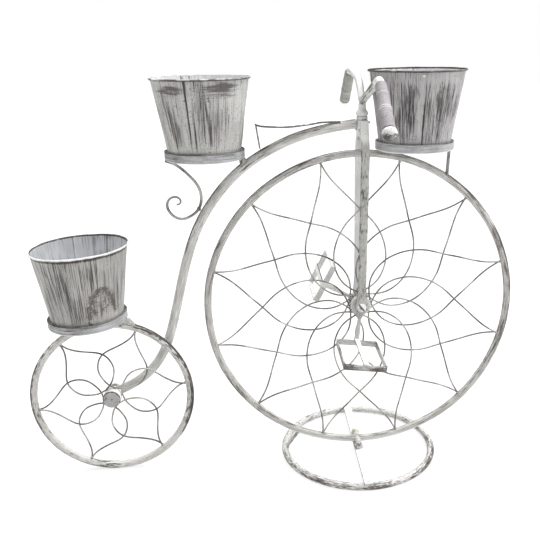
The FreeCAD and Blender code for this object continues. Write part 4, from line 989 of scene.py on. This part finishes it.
ENDS = {-1: (-205.0, 289.6), 1: (190.0, 298.4)}
BENDS = {-1: (-124.0, 348.0), 1: (124.1, 350.93)}
RISE = (HEAD_X, 29.9, 340.0)
BEND_X, END_X = {-1: HEAD_X + 3.0, 1: HEAD_X}, {-1: HEAD_X + 0.9, 1: HEAD_X}
corners = [(END_X[-1], *ENDS[-1]), (BEND_X[-1], *BENDS[-1]), (HEAD_X, 0, V_Z), RISE, (BEND_X[1], *BENDS[1]), (END_X[1], *ENDS[1])]
backs = [back_of(corners[i - 1], corners[i], corners[i + 1], r) for i, r in ((1, 24.0), (2, 12.0), (3, 60.0), (4, 23.5))]
P = bends(corners, backs, 2.2)
g = Geo()
sec = circle(5.3, 22)
along = np.interp(P[:, 1], [-112.0, -96.0, -6.0, 6.0], [-0.26, 0.13, 0.17, -0.26]) + 0.04 * wob(P, 46.0, 95)
flank = np.clip((P[:, 1] - 4.0) / 12.0, 0, 1)[:, None] * (0.10 * np.clip((-sec[:, 1] / 5.3 - 0.70) / 0.25, 0, 1) + 0.29 * np.clip((sec[:, 1] / 5.3 - 0.42) / 0.30, 0, 1))[None]
v, f, fl, w = sweep(P, (1, 0, 0), sec, seed=1900.0, rough=0.10, rough_len=18.0)
g.add(v, f, fl, (along[:, None] + flank).reshape(-1))
make("bar", g, M_BAR, body="handlebar", nodes=("handlebar_bar",), sharp=50)

zc = 283.9
COLLAR = [(0.3, 266.0), (4.6, 266.0), (5.2, 266.6), (5.2, zc), (7.4, zc), (7.9, zc + 0.5), (8.15, zc + 2.4), (7.9, zc + 4.4), (7.2, zc + 5.2), (7.5, zc + 5.9), (8.6, zc + 6.7), (9.1, zc + 8.2),
          (9.15, zc + 9.7), (8.6, zc + 11.3), (7.5, zc + 12.8), (6.4, zc + 14.1), (5.85, zc + 15.6), (5.55, zc + 18.0), (5.4, zc + 20.2), (5.3, zc + 22.6), (4.7, zc + 24.0), (0.3, zc + 24.4)]


def collar_disp(th, k):
    p = np.stack([9 * np.cos(th), 9 * np.sin(th), k * 2.0], -1)
    return np.where(k > 4, 0.34 * wob(p, 12.0, 97), 0.0)


g = Geo()
g.add(*lathe(COLLAR, 64, (HEAD_X, 0, 0), Z, (1, 0, 0), loop=False, disp=collar_disp, seed=60.0, wear=lambda th, k: np.where((k == 8) | (k == 4) | (k == 3), 0.24, 0.0)))
make("stem_and_collar", g, M_COLLAR, body="handlebar", nodes=("handlebar_stem",), sharp=60)

AIM = {s: unit(np.subtract((END_X[s], *ENDS[s]), (BEND_X[s], *BENDS[s]))) for s in (-1, 1)}


def grip_piece(s, seed):
    """Sleeve with groups of raised rings, a little wider towards its open end."""
    dd = AIM[s]
    e = np.array([END_X[s], *ENDS[s]])
    L = 87.0 if s < 0 else 76.0
    g0 = e - dd * (L + 1.0)
    hs = np.linspace(0, L, 190)
    r = (7.7 if s < 0 else 7.9) + 0.6 * (hs / L) ** 1.2
    rings = [(21.0, 0.42, 1.0), (24.4, 0.30, 0.9), (47.0, 0.55, 0.9), (50.6, 0.55, 0.9), (56.0, 0.24, 0.9), (61.0, 0.26, 0.9), (66.0, 0.24, 0.9), (71.0, 0.26, 0.9), (76.0, 0.24, 0.9), (81.0, 0.30, 0.9)]
    rings = [x for x in rings if x[0] < L - 4.0]
    bumps = np.zeros_like(hs)
    for c, a, w in rings:
        bumps += a * np.exp(-((hs - c) / w) ** 2)
    r = r + bumps
    r = r - 1.3 * np.clip(1 - hs / 1.6, 0, 1) ** 2 - 0.9 * np.clip((hs - L + 1.4) / 1.4, 0, 1) ** 2
    prof = [(5.35, 0.3), (6.2, 0.0)] + list(zip(r, hs)) + [(6.6, L), (5.35, L - 0.3)]
    K = len(prof)
    rise = np.concatenate([[0, 0], bumps, [0, 0]])
    groove = np.zeros(K)
    for c, a, w in rings:
        groove[2:-2] += np.exp(-((hs - c - 2.0) / 0.8) ** 2) + np.exp(-((hs - c + 2.0) / 0.8) ** 2)

    def wear(th, k):
        # raised rings are painted pale as a painted highlight; the last stretch at the wide end is set darker
        return -0.46 * rise[k] + 0.01 * groove[k] + np.where(k > K - 9, 0.34, 0.0)

    def disp(th, k):
        p = np.stack([9 * np.cos(th), 9 * np.sin(th), 0.4 * k], -1)
        return np.where((k > 3) & (k < K - 4), 0.08 * wob(p, 16.0, seed), 0.0)
    g = Geo()
    g.add(*lathe(prof, 60, g0, dd, (1, 0, 0), loop=True, disp=disp, seed=seed * 80.0, wear=wear))
    return g


def cap_piece(s, seed):
    dd = AIM[s]
    e = np.array([END_X[s], *ENDS[s]])
    prof = [(0.25, 0.05), (5.0, 0.05), (5.6, -0.6), (8.6, -0.95), (9.3, -0.5), (9.6, 0.8), (9.7, 2.2), (9.45, 4.0), (8.9, 5.6), (8.0, 7.2), (6.7, 8.6), (5.0, 9.7), (3.0, 10.4), (1.2, 10.68), (0.25, 10.7)]
    if s > 0:
        prof = [(r * 0.95, h if h < 1.0 else 1.0 + (h - 1.0) * 0.8) for r, h in prof]

    def disp(th, k):
        p = np.stack([9 * np.cos(th), 9 * np.sin(th), k * 1.3], -1)
        return np.where((k > 3) & (k < 12), 0.10 * wob(p, 8.0, seed), 0.0)

    def wear(th, k):
        # on the far end cap the ring is painted pale as painted light where it sits in shade, and the rest is set
        # darker
        if s > 0:
            return np.where((k > 2) & (k < 9), -0.30, 0.40)
        pr = np.array(prof)
        drop = -1.8 - (0.63 * pr[k, 0] * np.sin(th) - 0.77 * pr[k, 1])
        return 0.15 * np.clip(drop / 2.0, -0.5, 1)
    g = Geo()
    g.add(*lathe(prof, 56, e, dd, (1, 0, 0), loop=False, disp=disp, wear=wear))
    return g


make("grip_sleeve_near", grip_piece(-1, 81), M_GRIP_NEAR, body="handlebar", nodes=("grip_near",), sharp=60)
make("grip_sleeve_far", grip_piece(1, 82), M_GRIP_FAR, body="handlebar", nodes=("grip_far",), sharp=60)
make("grip_end_near", cap_piece(-1, 83), M_CAP, body="handlebar", nodes=("grip_cap_near",), sharp=60)
make("grip_end_far", cap_piece(1, 84), M_CAP, body="handlebar", nodes=("grip_cap_far",), sharp=60)

# ------------------------------------------------------------------ cranks and pedals
PEDAL_R, PEDAL_HALF, PEDAL_DEEP, PEDAL_HIGH, PEDAL_T = 59.5, 32.0, 94.0, 9.0, 2.0
C_IN, C_OUT = 14.0, 16.0


def crank_turn(side, angle):
    a = math.radians(-(angle - 270.0))

    def fn(v):
        v = v.copy()
        if side < 0:
            v[:, 1] *= -1
        x, z = v[:, 0].copy(), v[:, 2].copy()
        v[:, 0] = x * math.cos(a) + z * math.sin(a)
        v[:, 2] = -x * math.sin(a) + z * math.cos(a)
        return v
    return fn


def crank_pieces(side, angle, outside, seed, body, tag, cad):
    hi, lo = -(PEDAL_R - PEDAL_HIGH / 2), -(PEDAL_R + PEDAL_HIGH / 2)
    end = lo - PEDAL_T if outside else hi
    turn = crank_turn(side, angle)
    # one flat bar: a drop-shaped plate on the axle, a narrow arm, and a foot turned outwards
    drop = []
    for a in np.linspace(-20, 200, 34):
        drop.append((12.5 * math.cos(math.radians(a)), 12.5 * math.sin(math.radians(a))))
    outline = drop + [(-9.2, -8.6), (-6.6, -12.6), (-4.4, -16.0), (-2.9, -19.0), (-2.6, -23.0), (-3.1, -36.0), (-3.9, end + 1.0), (-4.0, end + 0.3),
                      (4.0, end + 0.3), (3.9, end + 1.0), (3.1, -36.0), (2.6, -23.0), (2.9, -19.0), (4.4, -16.0), (6.6, -12.6), (9.2, -8.6)]
    g = Geo()
    v, f = prism(outline, C_IN, C_OUT, 0.35)
    g.add(v, f, v[:, [0, 1, 2]] + np.array([0, 0, seed * 40.0]))
    P = np.array([(0, y, end + PEDAL_T / 2) for y in np.linspace(C_IN + 0.2, C_IN + PEDAL_DEEP + 2.0 - 0.2, 40)])
    g.add(*sweep(P, (1, 0, 0), bar_section(PEDAL_T, 8.0, 0.5), seed=seed * 77.0, cap=0.2, wear=-0.24))
    g.wear[-1] = np.where(g.v[-1][:, 0] < -3.7, 0.36, g.wear[-1])
    g.wear[0] = np.where(v[:, 2] < -19.0, -0.13, -0.03)
    if side > 0:
        g.wear[0] = g.wear[0] - 0.20
    g.turned(turn)
    make("crank_arm_" + tag, g, M_PEDAL, body=body, nodes=(cad[0],), sharp=40)
    # hoop of flat strip with small corner radii
    x1, y0, y1 = PEDAL_HALF - PEDAL_T / 2, C_OUT + PEDAL_T / 2, C_OUT + PEDAL_DEEP - PEDAL_T / 2
    rad = 2.6
    loop = []
    for cx, cy, a0 in ((x1 - rad, y1 - rad, 0), (-x1 + rad, y1 - rad, 90), (-x1 + rad, y0 + rad, 180), (x1 - rad, y0 + rad, 270)):
        for k in range(7):
            a = math.radians(a0 + 15.0 * k)
            loop.append((cx + rad * math.cos(a), cy + rad * math.sin(a)))
    dense = []
    for p, q in zip(loop, loop[1:] + loop[:1]):
        cnt = max(1, int(math.hypot(q[0] - p[0], q[1] - p[1]) / 3.0))
        for k in range(cnt):
            dense.append((p[0] + (q[0] - p[0]) * k / cnt, p[1] + (q[1] - p[1]) * k / cnt))
    P = np.array([(x, y, (hi + lo) / 2) for x, y in dense])
    v, f, fl, w = sweep(P, Z, bar_section(PEDAL_T, PEDAL_HIGH, 0.5, 4), closed=True, seed=seed * 55.0, rough=0.05, rough_len=12.0)
    front = np.clip((np.abs(v[:, 1]) - (C_OUT + PEDAL_DEEP - 5.0)) / 4.0, 0, 1)
    lean = np.clip((v[:, 0] - 24.0) / 6.0, 0, 1) * (1 - front)
    edge = np.clip((np.abs(v[:, 2] - (hi + lo) / 2) - 3.2) / 1.0, 0, 1)
    left = np.clip((-v[:, 0] - 24.0) / 6.0, 0, 1) * (1 - front)
    rear = np.clip((C_OUT + 6.0 - np.abs(v[:, 1])) / 4.0, 0, 1)
    # shade holds painted light and shade for the near hoop, set face by face: the right strip's inner face is painted
    # pale as painted light where it sits in shade, and other faces and edges are darkened or lightened to match the
    # light; the far hoop is set a little pale all over
    shade = front * (-0.03 + 0.26 * edge) + lean * np.where(edge > 0.5, 0.06, -0.24) + 0.12 * left - 0.12 * rear * (1 - edge) if side < 0 else -0.17 + 0 * front
    g = Geo()
    g.add(v, f, fl, shade)
    g.turned(turn)
    make("pedal_hoop_" + tag, g, M_PEDAL, body=body, nodes=(cad[1],), sharp=40)


crank_pieces(-1, 262.8, False, 85, "near_crank", "near", ("crank_near", "pedal_frame_near"))
crank_pieces(1, 152.5, True, 86, "far_crank", "far", ("crank_far", "pedal_frame_far"))

# ------------------------------------------------------------------ weld beads
g = Geo()
seed = 400


def weld(at, sx, sy, sz):
    global seed
    seed += 1
    v, f = blob(at, sx, sy, sz, seed)
    g.add(v, f, v, 0.10)


for k in range(12):
    a = math.radians(15.0 + 30.0 * k)
    weld((228.2 * math.cos(a), 0, 228.2 * math.sin(a)), 2.0, 3.0, 2.0)
for k in range(6):
    a = math.radians(8.5 + 60.0 * k)
    weld((RX + 112.4 * math.cos(a), RY, RZ + 112.4 * math.sin(a)), 1.9, 2.9, 1.9)
    for s in (-1, 1):
        b = math.radians(8.5 + 60.0 * k + s * 2.0)
        weld((RX + 14.2 * math.cos(b), RY + s * -1.25, RZ + 14.2 * math.sin(b)), 1.5, 1.4, 1.5)
for k in range(12):
    for s in (-1, 1):
        b = math.radians(15.0 + 30.0 * k + s * 2.0)
        weld((16.2 * math.cos(b), s * -1.25, 16.2 * math.sin(b)), 1.5, 1.4, 1.5)
weld((-239.6, -1.5, 158.6), 2.6, 2.4, 3.2)
weld((-240.6, 1.5, 158.0), 2.6, 2.4, 3.2)
weld((-170.0, 0.0, 224.6), 4.2, 4.4, 2.0)
weld((131.5, 0.0, 200.0), 2.6, 4.4, 2.0)
weld((-6.2, 0.0, 270.6), 2.2, 5.2, 2.4)
for s in (-1, 1):
    weld((1.8, s * 8.2, 264.2), 4.6, 1.8, 2.4)
for x, z in ((-97.0, -213.5), (91.5, -215.9)):
    weld((x * 1.022, 0.5, z * 1.022), 2.6, 4.0, 2.2)
weld((RING_X - RING_R + 3.8, 0.5, RING_Z + 5.0), 2.6, 4.2, 2.0)
weld((RING_X + RING_R - 3.8, 0.5, RING_Z + 5.0), 2.6, 4.2, 2.0)
weld((STRIP_X, RING_Y - RING_R + 1.0, RING_Z + 6.0), 5.2, 2.6, 1.5)
weld((STRIP_X, RING_Y + RING_R - 1.0, RING_Z + 6.0), 5.2, 2.6, 1.5)
weld((RX + 24.0, RY, RZ + 121.5), 8.0, 4.6, 1.8)
weld((-384.5, -1.0, -118.0), 4.0, 4.0, 2.0)
make("weld_beads", g, M_FRAME)

# ------------------------------------------------------------------ fasteners that keep their turned and cut shape
for n in ("axle_bolt", "axle_nut", "axle_washers", "stem_set_screw", "clip_spacers", "clip_bolt", "clip_nut"):
    o = nodes_cad[n]
    o.data.materials.clear()
    o.data.materials.append(M_BOLT if n == "axle_bolt" else M_CREAM if n == "clip_nut" else M_CLIPBOLT if n == "clip_bolt" else M_HARD)

# ------------------------------------------------------------------ floor, light, camera
scene = bpy.context.scene
t = Tree("floor_pale")
place = t.node("ShaderNodeTexCoord").outputs["Object"]
colour = t.mix(t.noise(place, 3.0, 3.0, 0.5), (0.235, 0.235, 0.235), (0.25, 0.25, 0.25))
M_FLOOR = t.surface(colour, 0.85, specular=0.1)
for n in M_FLOOR.node_tree.nodes:
    if n.type == "BSDF_PRINCIPLED":
        n.inputs["Emission Color"].default_value = (1.0, 1.0, 1.0, 1.0)
        n.inputs["Emission Strength"].default_value = 0.76
me = bpy.data.meshes.new("floor")
me.from_pydata([(-9, -9, 0), (9, -9, 0), (9, 9, 0), (-9, 9, 0)], [], [(0, 1, 2, 3)])
me.materials.append(M_FLOOR)
floor = bpy.data.objects.new("floor", me)
scene.collection.objects.link(floor)

world = bpy.data.worlds.new("studio")
scene.world = world
world.use_nodes = True
wt = world.node_tree
bg = wt.nodes["Background"]
bg.inputs[0].default_value = (1.0, 1.0, 1.0, 1.0)
seen = wt.nodes.new("ShaderNodeLightPath")
level = wt.nodes.new("ShaderNodeMapRange")
level.inputs["To Min"].default_value = 0.07
level.inputs["To Max"].default_value = 1.0
wt.links.new(seen.outputs["Is Camera Ray"], level.inputs["Value"])
wt.links.new(level.outputs["Result"], bg.inputs[1])


def area(name, at, target, size, power):
    data = bpy.data.lights.new(name, "AREA")
    data.shape = "RECTANGLE"
    data.size, data.size_y = size
    data.energy = power
    ob = bpy.data.objects.new(name, data)
    ob.location = at
    ob.rotation_euler = (Vector(target) - Vector(at)).to_track_quat("-Z", "Y").to_euler()
    scene.collection.objects.link(ob)
    return ob


area("side_right", (2.1, -0.5, 0.9), (0, 0, 0.3), (1.5, 1.5), 15.0)
area("side_left", (-2.1, -0.3, 0.9), (0, 0, 0.3), (1.5, 1.5), 8.0)
sun_data = bpy.data.lights.new("overhead", "SUN")
sun_data.energy = 6.0
sun_data.angle = math.radians(75.0)
sun = bpy.data.objects.new("overhead", sun_data)
sun.rotation_euler = Vector((-0.20, -0.06, -1.0)).to_track_quat("-Z", "Y").to_euler()
scene.collection.objects.link(sun)

scene.view_settings.view_transform = "Standard"
scene.view_settings.look = "None"

right = Vector((0.9962, -0.0859, -0.0136))
up = Vector((0.0356, 0.2597, 0.9650))
back = Vector((-0.0794, -0.9619, 0.2618))
right.normalize()
back = (back - right * back.dot(right)).normalized()
up = back.cross(right)
cam_data = bpy.data.cameras.new("camera")
cam_data.sensor_width = 36.0
cam_data.lens = 731.4 / 540.0 * 36.0
cam_data.shift_x = (270.0 - 309.6) / 540.0
cam_data.shift_y = (238.8 - 270.0) / 540.0
cam_data.clip_start, cam_data.clip_end = 0.05, 60.0
cam = bpy.data.objects.new("camera", cam_data)
C = Vector((-0.0296, -1.0635, 0.6496))
cam.matrix_world = Matrix(((right.x, up.x, back.x, C.x), (right.y, up.y, back.y, C.y), (right.z, up.z, back.z, C.z), (0, 0, 0, 1)))
scene.collection.objects.link(cam)
scene.camera = cam
